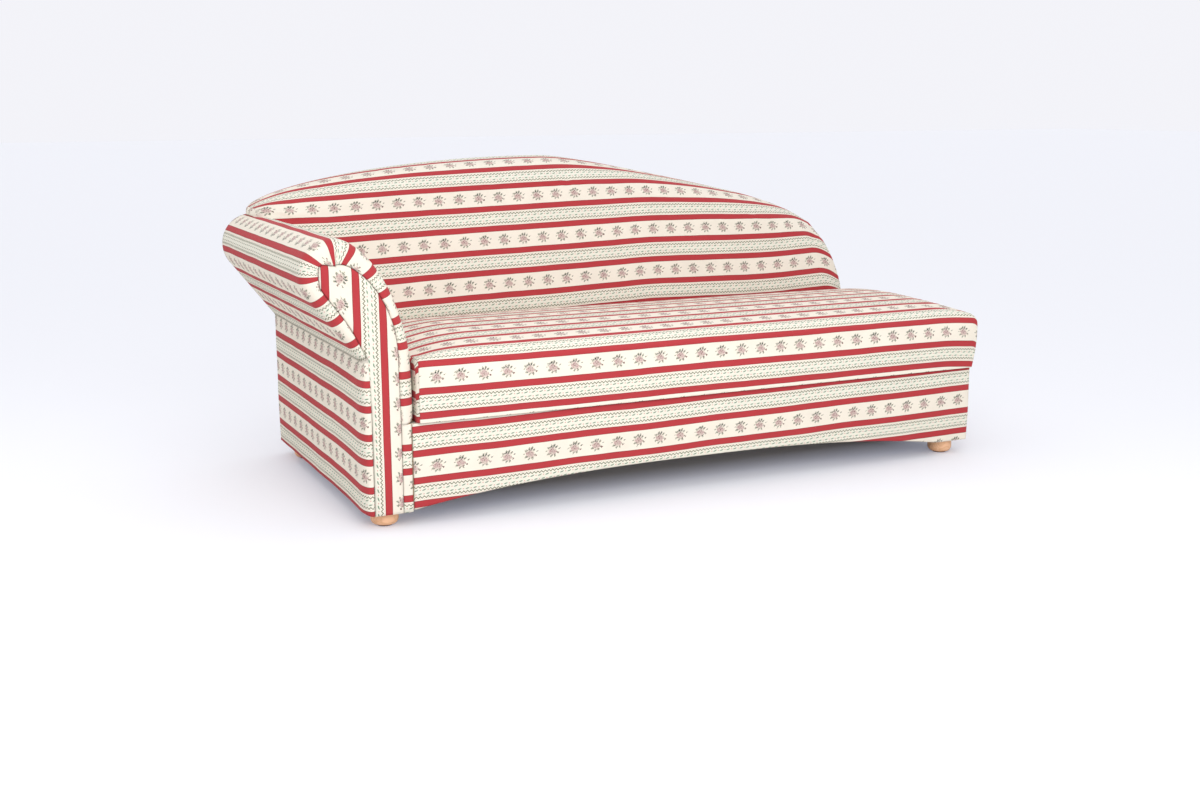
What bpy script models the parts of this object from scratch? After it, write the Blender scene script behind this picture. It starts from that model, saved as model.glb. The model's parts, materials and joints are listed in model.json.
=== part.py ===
"""One-armed sofa with a scroll arm, an arched back and a loose bench seat.

Metres, +Z up. X runs along the sofa from the arm to the free end, Y from the front to the back.
Pieces are laid out from the arm's outer side (X = 0), the front of the base (Y = 0) and the floor (Z = 0),
and hang on one empty that puts the middle of the sofa's footprint at the origin.
"""

import math

import bmesh
import bpy
from mathutils import Vector

for old in list(bpy.data.objects):
    bpy.data.objects.remove(old, do_unlink=True)

# Fits
FIT = 0.0003                 # gap between two pieces that touch
COVER = 0.004                # cover fabric and wadding over a hard frame
RAIL = 0.024                 # thickness of every frame rail

# Base box
BASE_LENGTH = 2.003          # arm's outer side to the free end
BASE_DEPTH = 0.972           # front to outside back
BASE_HEIGHT = 0.236          # height of the base rails
FOOT_HEIGHT = 0.044          # floor to the underside of the base
ARCH_RISE = 0.053            # rise of the front's lower edge
ARCH_LEFT = 0.004            # straight stretch of that edge beside the arm
ARCH_RIGHT = 0.122           # straight stretch at the free end
ARCH_POWER = 2.6             # flatness of the arch's crown
MID_RAIL_HEIGHT = 0.100
CROSS_RAIL_HEIGHT = 0.080
BATTEN = 0.020
BATTEN_ABOVE_ARCH = 0.003
HARDBOARD = 0.004

# Feet
FOOT_RADIUS = 0.038          # fullest girth of the bun
FOOT_BELLY = 0.020           # height of that girth
FOOT_TOP_RADIUS = 0.035
FOOT_BOTTOM_RADIUS = 0.024
FOOT_END_INSET = 0.072       # foot centre to the free end
FOOT_ARM_INSET = 0.060       # foot centre to the arm's outer side
FOOT_FRONT_INSET = 0.052
FOOT_REAR_INSET = 0.092
GLIDE = 0.003
GLIDE_RADIUS = 0.021
BLOCK_HEIGHT = 0.038
BLOCK_REACH = 0.040          # foot centre to the open side of its block
STUD_RADIUS = 0.005          # threaded stud on top of the foot

# Bench seat
SEAT_THICKNESS = 0.168
SEAT_CROWN = 0.026
SEAT_FRONT_OVERHANG = 0.010
SEAT_END_OVERHANG = 0.015
SEAT_ARM_GAP = 0.014
SEAT_PARTING = 0.005         # dark line between base and bench
SEAT_EDGE = 0.022            # rounding of the bench's upper edges
SEAT_LOW_EDGE = 0.008        # rounding of its lower edges
SEAT_CROWN_END = 0.070       # stretch over which the crown rises at each end
SEAT_CORNER = 0.030          # corner radius in plan
SEAT_INNER_CORNER = 0.005    # corner radius of the crown's smallest rings
SEAT_DRAW = 0.004            # how far the sides are drawn in between the corners
SKIRT = 0.020                # padding round the seat frame
SEAT_RAIL_HEIGHT = 0.050
SEAT_CROSS_DROP = 0.010      # cross rails lie below the webbing
SEAT_STRAPS_ACROSS = 12      # straps from front to rear
SEAT_STRAPS_ALONG = 4
HESSIAN = 0.002
DOWEL_RADIUS = 0.006
DOWEL_GRIP = 0.020           # length of dowel in each rail
DOWEL_INSET = 0.100

# Scroll arm
ARM_WIDTH = 0.128            # outer side to inner face
ARM_SHOULDER = 0.460         # height where the inner face starts to lean out
ARM_CURVE = 1.75             # fullness of the inner curve
ARM_SEAM = 0.455             # height of the seam between outer panel and roll
ROLL_OVERHANG = 0.060        # roll centre outside the arm's outer side
ROLL_HEIGHT = 0.685          # roll centre above the floor
ROLL_RADIUS = 0.092
ARM_PAD = 0.026
LINING = 0.003
BOARD = 0.018
FACING_PROUD = 0.004
FACING_EDGE = 0.020          # outer panel's return on the front
ARM_RAIL_HEIGHT = 0.060
WAIST_DROP = 0.010           # waist rail below the roll's seam
ROLL_RAIL = 0.045
BOLT_RADIUS = 0.005
BOLT_HEAD_RADIUS = 0.010
BOLT_HEAD = 0.006
BOLT_SHORT = 0.002           # bolt tip inside the far face

# Arched back
BACK_LEFT_REACH = 0.075      # back's end outside the arm's outer side
BACK_SHOULDER = 0.800        # height of that end
BACK_PEAK_X = 0.780
BACK_HEIGHT = 0.944
BACK_SWELL = 0.588           # fullness of the rise from the arm to the peak
BACK_END_INSET = 0.003
BACK_END_HEIGHT = 0.441      # height of the crest at the very end
BACK_FALL = 0.424            # share of the fall that runs from the peak to the free end
BACK_FALL_POWER = 1.35       # how slowly it sets in
BACK_TURN = 0.171            # share that comes late
BACK_TURN_POWER = 8          # how late it comes
BACK_END_POWER = 27          # how late the rest turns down, at the rounded end
BACK_END_PAD = 0.085         # padding beyond the last rib
BACK_DEPTH = 0.297           # foot of the front to the outside back
BACK_LEAN = 0.1424           # lean of the front from the seat to the crest
BACK_GAP = 0.003             # seat to back pad
BACK_PAD = 0.075
BACK_CAP = 0.030             # padding over the top rail
BACK_TOP_ROUND = 0.085       # height of the front's rounding
BACK_REAR_ROUND = 0.085      # depth of the rounding behind the crest
BACK_REAR_DROP = 0.050
BACK_SIDE_ROUND = 0.060
BACK_SIDE_SETBACK = 0.050
RIB = 0.028
RIB_COUNT = 5
RIB_LAP = 0.110
RIB_FOOT = 0.060             # depth of the rib's lower lap
TOP_RAIL_HEIGHT = 0.050
TOP_RAIL_DEPTH = 0.045
STRAP = 0.0025               # thickness of the webbing
STRAP_WIDTH = 0.060
BACK_STRAP_PITCH = 0.085

# Levels and faces that follow from the sizes above
BASE_TOP = FOOT_HEIGHT + BASE_HEIGHT
BOX_LEFT = ARM_WIDTH + FIT
BOX_RIGHT = BASE_LENGTH - COVER - FIT
BOX_FRONT = COVER + FIT
BOX_REAR = BASE_DEPTH - COVER - FIT
INNER_LEFT = BOX_LEFT + RAIL + FIT
INNER_RIGHT = BOX_RIGHT - RAIL - FIT
INNER_FRONT = BOX_FRONT + RAIL + FIT
INNER_REAR = BOX_REAR - RAIL - FIT

SEAT_LEFT = ARM_WIDTH + SEAT_ARM_GAP
SEAT_RIGHT = BASE_LENGTH + SEAT_END_OVERHANG
SEAT_FRONT = -SEAT_FRONT_OVERHANG
SEAT_REAR = BASE_DEPTH - BACK_DEPTH - BACK_GAP
SEAT_BOTTOM = BASE_TOP + SEAT_PARTING
SEAT_TOP = SEAT_BOTTOM + SEAT_THICKNESS
FRAME_LEFT = SEAT_LEFT + SKIRT + FIT
FRAME_RIGHT = SEAT_RIGHT - SKIRT - FIT
FRAME_FRONT = SEAT_FRONT + SKIRT + FIT
FRAME_REAR = SEAT_REAR - SKIRT - FIT
FRAME_BOTTOM = BASE_TOP + FIT
FRAME_TOP = FRAME_BOTTOM + SEAT_RAIL_HEIGHT
HESSIAN_BOTTOM = FRAME_TOP + FIT + STRAP + FIT
HESSIAN_TOP = HESSIAN_BOTTOM + HESSIAN

ROLL_X = -ROLL_OVERHANG
BACK_LEFT = -BACK_LEFT_REACH
BACK_RIGHT = BASE_LENGTH - BACK_END_INSET
BACK_FOOT = BASE_DEPTH - BACK_DEPTH
BACK_RAKE = BACK_LEAN / (BACK_HEIGHT - SEAT_TOP)
BACK_CREST = BOX_REAR - BACK_REAR_ROUND
BACK_LOW = BASE_TOP + FIT
RIB_LEFT = INNER_LEFT
RIB_RIGHT = BACK_RIGHT - BACK_END_PAD

# Finishes: colour, roughness and metallic value
STRIPED_FABRIC = ((0.80, 0.58, 0.50), 0.90, 0.0)
BEECH = ((0.72, 0.47, 0.26), 0.45, 0.0)
PINE = ((0.76, 0.58, 0.36), 0.70, 0.0)
BROWN_BOARD = ((0.42, 0.29, 0.17), 0.75, 0.0)
JUTE = ((0.52, 0.42, 0.27), 0.95, 0.0)
WEBBING = ((0.12, 0.12, 0.13), 0.85, 0.0)
STEEL = ((0.55, 0.56, 0.58), 0.35, 1.0)
BLACK_FELT = ((0.06, 0.06, 0.06), 0.95, 0.0)

footprint_x = (ROLL_X - ROLL_RADIUS + SEAT_RIGHT) / 2
footprint_y = (min(SEAT_FRONT, -FACING_PROUD) + BASE_DEPTH) / 2
sofa = bpy.data.objects.new("sofa", None)
sofa.location = (-footprint_x, -footprint_y, 0.0)
bpy.context.scene.collection.objects.link(sofa)


def finish(name, look):
    colour, roughness, metallic = look
    material = bpy.data.materials.new(name)
    material.use_nodes = True
    shader = material.node_tree.nodes["Principled BSDF"]
    shader.inputs["Base Color"].default_value = (*colour, 1.0)
    shader.inputs["Roughness"].default_value = roughness
    shader.inputs["Metallic"].default_value = metallic
    return material


def mesh_piece(name, shape, look=None, smooth=False):
    """Turns a finished bmesh into a named piece of the sofa."""
    bmesh.ops.recalc_face_normals(shape, faces=shape.faces)
    mesh = bpy.data.meshes.new(name)
    shape.to_mesh(mesh)
    shape.free()
    if look:
        mesh.materials.append(finish(name, look))
    if smooth:
        mesh.shade_smooth()
        mesh.set_sharp_from_angle(angle=math.radians(40))
    piece = bpy.data.objects.new(name, mesh)
    piece.parent = sofa
    bpy.context.scene.collection.objects.link(piece)
    return piece


def cut(piece, shape):
    """Takes a bmesh shape out of a piece."""
    cutter = mesh_piece(piece.name + "_cutter", shape)
    cutter.hide_render = True
    cutter.display_type = "WIRE"
    boolean = piece.modifiers.new("cut", "BOOLEAN")
    boolean.operation = "DIFFERENCE"
    boolean.solver = "EXACT"
    boolean.object = cutter


def add_box(shape, low, high):
    low = Vector(low)
    size = Vector(high) - low
    for corner in bmesh.ops.create_cube(shape, size=1.0)["verts"]:
        share = corner.co + Vector((0.5, 0.5, 0.5))
        corner.co = low + Vector((share.x * size.x, share.y * size.y, share.z * size.z))


def box(name, low, high, look):
    shape = bmesh.new()
    add_box(shape, low, high)
    return mesh_piece(name, shape, look)


def add_loft(shape, loops):
    """Closed body through loops of equal point count, with flat end caps."""
    rings = []
    for loop in loops:
        rings.append([shape.verts.new(point) for point in loop])
    for ring, following in zip(rings, rings[1:]):
        for k in range(len(ring)):
            shape.faces.new((ring[k - 1], ring[k], following[k], following[k - 1]))
    shape.faces.new(rings[0])
    shape.faces.new(rings[-1])


def add_prism(shape, axis, outline, start, end):
    """Outline swept along an axis. Its points hold the two other coordinates in X, Y, Z order."""
    loops = []
    for place in (start, end):
        loop = []
        for first, second in outline:
            point = [first, second]
            point.insert("xyz".index(axis), place)
            loop.append(point)
        loops.append(loop)
    add_loft(shape, loops)


def prism(name, axis, outline, start, end, look):
    shape = bmesh.new()
    add_prism(shape, axis, outline, start, end)
    return mesh_piece(name, shape, look)


def add_turned(shape, centre, axis, profile, sides=10):
    """Turned body along an axis. The profile holds radii and distances from the centre."""
    index = "xyz".index(axis)
    loops = []
    for radius, distance in profile:
        loop = []
        for k in range(sides):
            angle = 2 * math.pi * (k + 0.5) / sides
            point = list(centre)
            point[index] += distance
            point[index - 2] += radius * math.cos(angle)
            point[index - 1] += radius * math.sin(angle)
            loop.append(point)
        loops.append(loop)
    add_loft(shape, loops)


def add_lattice(shape, first, second, filled, near, far):
    """Straps that cross in one layer. Cells between the cut lines are filled or left open."""
    cells = set()
    for i in range(len(first) - 1):
        for j in range(len(second) - 1):
            if filled((first[i] + first[i + 1]) / 2, (second[j] + second[j + 1]) / 2):
                cells.add((i, j))
    corners = {}

    def corner(i, j, side):
        if (i, j, side) not in corners:
            corners[i, j, side] = shape.verts.new(side(first[i], second[j]))
        return corners[i, j, side]

    for i, j in cells:
        ring = [(i, j), (i + 1, j), (i + 1, j + 1), (i, j + 1)]
        beyond = [(i, j - 1), (i + 1, j), (i, j + 1), (i - 1, j)]
        for side in (near, far):
            shape.faces.new([corner(*place, side) for place in ring])
        for k in range(4):
            if beyond[k] in cells:
                continue
            a = ring[k]
            b = ring[(k + 1) % 4]
            shape.faces.new([corner(*a, near), corner(*b, near), corner(*b, far), corner(*a, far)])


def spread(low, high, count):
    """Centres of equal shares of a stretch."""
    return [low + (high - low) * (k + 0.5) / count for k in range(count)]


def front_outline(left, right):
    """Front of the base: straight top, arched lower edge."""
    start = BOX_LEFT + ARCH_LEFT
    end = BASE_LENGTH - ARCH_RIGHT
    steps = 18
    outline = [(left, BASE_TOP), (left, FOOT_HEIGHT)]
    for k in range(steps + 1):
        along = k / steps
        lift = ARCH_RISE * (1 - abs(2 * along - 1) ** ARCH_POWER)
        outline.append((start + (end - start) * along, FOOT_HEIGHT + lift))
    return outline + [(right, FOOT_HEIGHT), (right, BASE_TOP)]


# Base box: rails, cover and bottom. The arm is bolted to its left end.
third = (INNER_RIGHT - INNER_LEFT) / 3
cross_x = {"left": INNER_LEFT + third, "right": INNER_RIGHT - third}
mid_front = FRAME_REAR - RAIL
panel_bottom = FOOT_HEIGHT + ARCH_RISE + BATTEN_ABOVE_ARCH + BATTEN + FIT


def make_base():
    prism("base_front_rail", "y", front_outline(BOX_LEFT, BOX_RIGHT), BOX_FRONT, BOX_FRONT + RAIL, PINE)
    prism("base_front_cover", "y", front_outline(BOX_LEFT, BASE_LENGTH), 0.0, COVER, STRIPED_FABRIC)
    box("base_rear_rail", (BOX_LEFT, BOX_REAR - RAIL, FOOT_HEIGHT), (BOX_RIGHT, BOX_REAR, BASE_TOP), PINE)
    left = box(
        "base_end_rail_left",
        (BOX_LEFT, INNER_FRONT, FOOT_HEIGHT),
        (BOX_LEFT + RAIL, INNER_REAR, BASE_TOP),
        PINE,
    )
    box(
        "base_end_rail_right",
        (BOX_RIGHT - RAIL, INNER_FRONT, FOOT_HEIGHT),
        (BOX_RIGHT, INNER_REAR, BASE_TOP),
        PINE,
    )
    box(
        "base_end_cover",
        (BASE_LENGTH - COVER, BOX_FRONT, FOOT_HEIGHT),
        (BASE_LENGTH, BOX_REAR, BASE_TOP),
        STRIPED_FABRIC,
    )
    box(
        "base_mid_rail",
        (INNER_LEFT, mid_front, BASE_TOP - MID_RAIL_HEIGHT),
        (INNER_RIGHT, FRAME_REAR, BASE_TOP),
        PINE,
    )
    cross = {}
    for side, x in cross_x.items():
        cross[side] = box(
            "base_cross_rail_" + side,
            (x - RAIL / 2, INNER_FRONT, BASE_TOP - CROSS_RAIL_HEIGHT),
            (x + RAIL / 2, mid_front - FIT, BASE_TOP),
            PINE,
        )
    box(
        "base_bottom_panel",
        (INNER_LEFT, INNER_FRONT, panel_bottom),
        (INNER_RIGHT, INNER_REAR, panel_bottom + HARDBOARD),
        BROWN_BOARD,
    )
    for end, y in (("front", INNER_FRONT), ("rear", INNER_REAR - BATTEN)):
        box(
            "base_batten_" + end,
            (INNER_LEFT, y, panel_bottom - FIT - BATTEN),
            (INNER_RIGHT, y + BATTEN, panel_bottom - FIT),
            PINE,
        )
    return left, cross


# Feet: turned beech buns with a stud that screws into a block, and a felt glide under each.
foot_x = {"left": FOOT_ARM_INSET, "right": BASE_LENGTH - FOOT_END_INSET}
foot_y = {"front": FOOT_FRONT_INSET, "rear": BASE_DEPTH - FOOT_REAR_INSET}


def make_feet():
    foot_bottom = GLIDE + FIT
    foot_top = FOOT_HEIGHT - FIT
    block_top = FOOT_HEIGHT + BLOCK_HEIGHT
    turned = []
    steps = 4
    for k in range(steps):
        angle = math.pi / 2 * k / steps
        girth = FOOT_BOTTOM_RADIUS + (FOOT_RADIUS - FOOT_BOTTOM_RADIUS) * math.sin(angle)
        turned.append((girth, FOOT_BELLY - (FOOT_BELLY - foot_bottom) * math.cos(angle)))
    for k in range(steps + 1):
        angle = math.pi / 2 * k / steps
        girth = FOOT_TOP_RADIUS + (FOOT_RADIUS - FOOT_TOP_RADIUS) * math.cos(angle)
        turned.append((girth, FOOT_BELLY + (foot_top - FOOT_BELLY) * math.sin(angle)))
    turned += [(STUD_RADIUS, foot_top), (STUD_RADIUS, block_top)]
    block_x = {
        "left": (BOX_FRONT + RAIL + FIT, ARM_WIDTH - RAIL - FIT),
        "right": (foot_x["right"] - BLOCK_REACH, INNER_RIGHT),
    }
    block_y = {
        "front_left": (BOX_FRONT + BOARD + FIT, foot_y["front"] + BLOCK_REACH),
        "front_right": (INNER_FRONT, foot_y["front"] + BLOCK_REACH),
        "rear_left": (foot_y["rear"] - BLOCK_REACH, BOX_REAR - BOARD - FIT),
        "rear_right": (foot_y["rear"] - BLOCK_REACH, INNER_REAR),
    }
    for corner, (low_y, high_y) in block_y.items():
        end, side = corner.split("_")
        centre = (foot_x[side], foot_y[end], 0.0)
        foot = bmesh.new()
        add_turned(foot, centre, "z", turned, sides=24)
        mesh_piece("foot_" + corner, foot, BEECH, smooth=True)
        glide = bmesh.new()
        add_turned(glide, centre, "z", [(GLIDE_RADIUS, 0.0), (GLIDE_RADIUS, GLIDE)], sides=24)
        mesh_piece("glide_" + corner, glide, BLACK_FELT)
        low_x, high_x = block_x[side]
        block = box("foot_block_" + corner, (low_x, low_y, FOOT_HEIGHT), (high_x, high_y, block_top), PINE)
        hole = STUD_RADIUS + FIT
        bore = bmesh.new()
        add_turned(bore, centre, "z", [(hole, 0.0), (hole, block_top + RAIL)], sides=24)
        cut(block, bore)


# Arm outline, from the foot of the inner face over the roll to the seam on the outer side.
def arm_outline():
    points = [(ARM_WIDTH, BASE_TOP + FIT)]
    half_width = ARM_WIDTH - ROLL_X
    rise = ROLL_HEIGHT + ROLL_RADIUS - ARM_SHOULDER
    curve_steps = 10
    for k in range(curve_steps):
        angle = math.pi / 2 * k / curve_steps
        across = half_width * math.cos(angle) ** (2 / ARM_CURVE)
        points.append((ROLL_X + across, ARM_SHOULDER + rise * math.sin(angle) ** (2 / ARM_CURVE)))
    seam_x = ROLL_X
    seam_z = ROLL_HEIGHT - ARM_SEAM
    reach = math.hypot(seam_x, seam_z)
    leave = math.atan2(seam_z, seam_x) + math.asin(ROLL_RADIUS / reach) + math.pi / 2
    quarter_steps = 6
    under_steps = 3
    angles = [math.pi / 2 * (1 + k / quarter_steps) for k in range(quarter_steps + 1)]
    angles += [math.pi + (leave - math.pi) * (k + 1) / under_steps for k in range(under_steps)]
    for angle in angles:
        points.append((ROLL_X + ROLL_RADIUS * math.cos(angle), ROLL_HEIGHT + ROLL_RADIUS * math.sin(angle)))
    return points + [(0.0, ARM_SEAM)]


def inset(points, distance):
    """Open outline moved to its left by a distance."""
    normals = []
    for (ax, az), (bx, bz) in zip(points, points[1:]):
        length = math.hypot(bx - ax, bz - az)
        normals.append(Vector(((az - bz) / length, (bx - ax) / length)))
    moved = []
    for k, point in enumerate(points):
        before = normals[max(k - 1, 0)]
        after = normals[min(k, len(normals) - 1)]
        middle = (before + after).normalized()
        moved.append(Vector(point) + middle * (distance / middle.dot(after)))
    return moved


def band(outer, thickness, start=0.0):
    """Closed outline of a layer that lies inside an open outline."""
    return inset(outer, start) + inset(outer, start + thickness)[::-1]


def make_arm(base_left):
    outline = arm_outline()
    lining_at = ARM_PAD + FIT
    board_at = lining_at + LINING + FIT
    prism("arm_pad", "y", band(outline, ARM_PAD), 0.0, BOX_REAR, STRIPED_FABRIC)
    prism("arm_lining", "y", band(outline, LINING, lining_at), BOX_FRONT, BOX_REAR, BROWN_BOARD)

    board = inset(outline, board_at)
    downhill = (Vector(outline[-1]) - Vector(outline[-2])).normalized()
    across = Vector((-downhill.y, downhill.x))
    board[-1] = board[-1] + downhill * (3 * FIT)
    tuck = board[-1] - across * ((board[-1].x - BOX_FRONT) / across.x)
    board[0] = Vector((board[0].x, BASE_TOP))
    corners = [(BOX_FRONT, FOOT_HEIGHT), (ARM_WIDTH, FOOT_HEIGHT), (ARM_WIDTH, BASE_TOP)]
    board += [tuck] + corners
    prism("arm_front_board", "y", board, BOX_FRONT, BOX_FRONT + BOARD, PINE)
    prism("arm_rear_board", "y", board, BOX_REAR - BOARD, BOX_REAR, PINE)

    facing_right = ARM_WIDTH - ARM_PAD - FIT
    facing = inset(outline, lining_at)
    facing += [(FACING_EDGE, ARM_SEAM - FIT), (FACING_EDGE, FOOT_HEIGHT), (facing_right, FOOT_HEIGHT)]
    prism("arm_facing", "y", facing, -FACING_PROUD, COVER, STRIPED_FABRIC)
    box(
        "arm_front_strip",
        (facing_right + FIT, 0.0, FOOT_HEIGHT),
        (ARM_WIDTH, COVER, BASE_TOP),
        STRIPED_FABRIC,
    )
    side = [
        (0.0, 0.0),
        (FACING_EDGE - FIT, 0.0),
        (FACING_EDGE - FIT, COVER),
        (COVER, COVER),
        (COVER, BOX_REAR),
        (0.0, BOX_REAR),
    ]
    prism("arm_outer_panel", "z", side, FOOT_HEIGHT, ARM_SEAM - FIT, STRIPED_FABRIC)
    closed = outline + [(0.0, FOOT_HEIGHT), (ARM_WIDTH, FOOT_HEIGHT)]
    prism("arm_rear_cover", "y", closed, BASE_DEPTH - COVER, BASE_DEPTH, STRIPED_FABRIC)

    front = BOX_FRONT + BOARD + FIT
    rear = BOX_REAR - BOARD - FIT
    outer = BOX_FRONT
    inner_rail = box(
        "arm_inner_rail",
        (ARM_WIDTH - RAIL, front, FOOT_HEIGHT),
        (ARM_WIDTH, rear, BASE_TOP),
        PINE,
    )
    box(
        "arm_outer_rail",
        (outer, front, FOOT_HEIGHT),
        (outer + RAIL, rear, FOOT_HEIGHT + ARM_RAIL_HEIGHT),
        PINE,
    )
    waist_top = ARM_SEAM - WAIST_DROP
    box("arm_waist_rail", (outer, front, waist_top - ARM_RAIL_HEIGHT), (outer + RAIL, rear, waist_top), PINE)
    half = ROLL_RAIL / 2
    box(
        "arm_roll_rail",
        (ROLL_X - half, front, ROLL_HEIGHT - half),
        (ROLL_X + half, rear, ROLL_HEIGHT + half),
        PINE,
    )

    tip = ARM_WIDTH - RAIL + BOLT_SHORT
    seat = BOX_LEFT + RAIL + FIT
    bolt = [
        (BOLT_RADIUS, tip),
        (BOLT_RADIUS, seat),
        (BOLT_HEAD_RADIUS, seat),
        (BOLT_HEAD_RADIUS, seat + BOLT_HEAD),
    ]
    bore = [(BOLT_RADIUS + FIT, 0.0), (BOLT_RADIUS + FIT, seat + BOLT_HEAD)]
    bolt_z = (panel_bottom + HARDBOARD + BASE_TOP) / 2
    for end, y in zip(("front", "rear"), spread(INNER_FRONT, mid_front, 2)):
        shape = bmesh.new()
        add_turned(shape, (0.0, y, bolt_z), "x", bolt)
        mesh_piece("arm_bolt_" + end, shape, STEEL)
        for rail in (inner_rail, base_left):
            hole = bmesh.new()
            add_turned(hole, (0.0, y, bolt_z), "x", bore)
            cut(rail, hole)


# Back outline: height of the crest along the sofa, and the raked front.
def crest(x):
    if x <= BACK_PEAK_X:
        along = (x - BACK_LEFT) / (BACK_PEAK_X - BACK_LEFT)
        return BACK_SHOULDER + (BACK_HEIGHT - BACK_SHOULDER) * (1 - (1 - along) ** 2) ** BACK_SWELL
    along = (x - BACK_PEAK_X) / (BACK_RIGHT - BACK_PEAK_X)
    fall = BACK_FALL * along ** BACK_FALL_POWER + BACK_TURN * along ** BACK_TURN_POWER
    fall += (1 - BACK_FALL - BACK_TURN) * along ** BACK_END_POWER
    return BACK_HEIGHT - (BACK_HEIGHT - BACK_END_HEIGHT) * fall


def raked(z):
    return BACK_FOOT + BACK_RAKE * max(z - SEAT_TOP, 0.0)


def back_stations(left, right, count):
    """Places along the sofa, closer together towards both ends."""
    places = []
    for k in range(count + 1):
        along = k / count
        eased = 0.5 - 0.5 * math.cos(math.pi * along)
        places.append(left + (right - left) * (0.5 * along + 0.5 * eased))
    return places


def back_section(x):
    """Outline of the padded back across the sofa, from its foot over the crest to the outside."""
    top = crest(x)
    edge = min((x - BACK_LEFT) / BACK_SIDE_ROUND, (BACK_RIGHT - x) / BACK_SIDE_ROUND, 1.0)
    setback = BACK_SIDE_SETBACK * (1 - math.sqrt(1 - (1 - edge) ** 2))
    spring = top - BACK_TOP_ROUND
    knee = min(SEAT_TOP, (BACK_LOW + spring) / 2)
    face = raked(spring) + setback
    points = [(raked(BACK_LOW) + setback, BACK_LOW), (raked(knee) + setback, knee)]
    steps = 5
    for k in range(steps + 1):
        angle = math.pi / 2 * k / steps
        back = BACK_CREST - (BACK_CREST - face) * math.cos(angle)
        points.append((back, spring + BACK_TOP_ROUND * math.sin(angle)))
    for k in range(1, steps):
        angle = math.pi / 2 * k / (steps - 1)
        drop = BACK_REAR_DROP * (1 - math.cos(angle))
        points.append((BACK_CREST + BACK_REAR_ROUND * math.sin(angle), top - drop))
    points.append((BOX_REAR, BACK_LOW))
    return [(x, y, z) for y, z in points]


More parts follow.
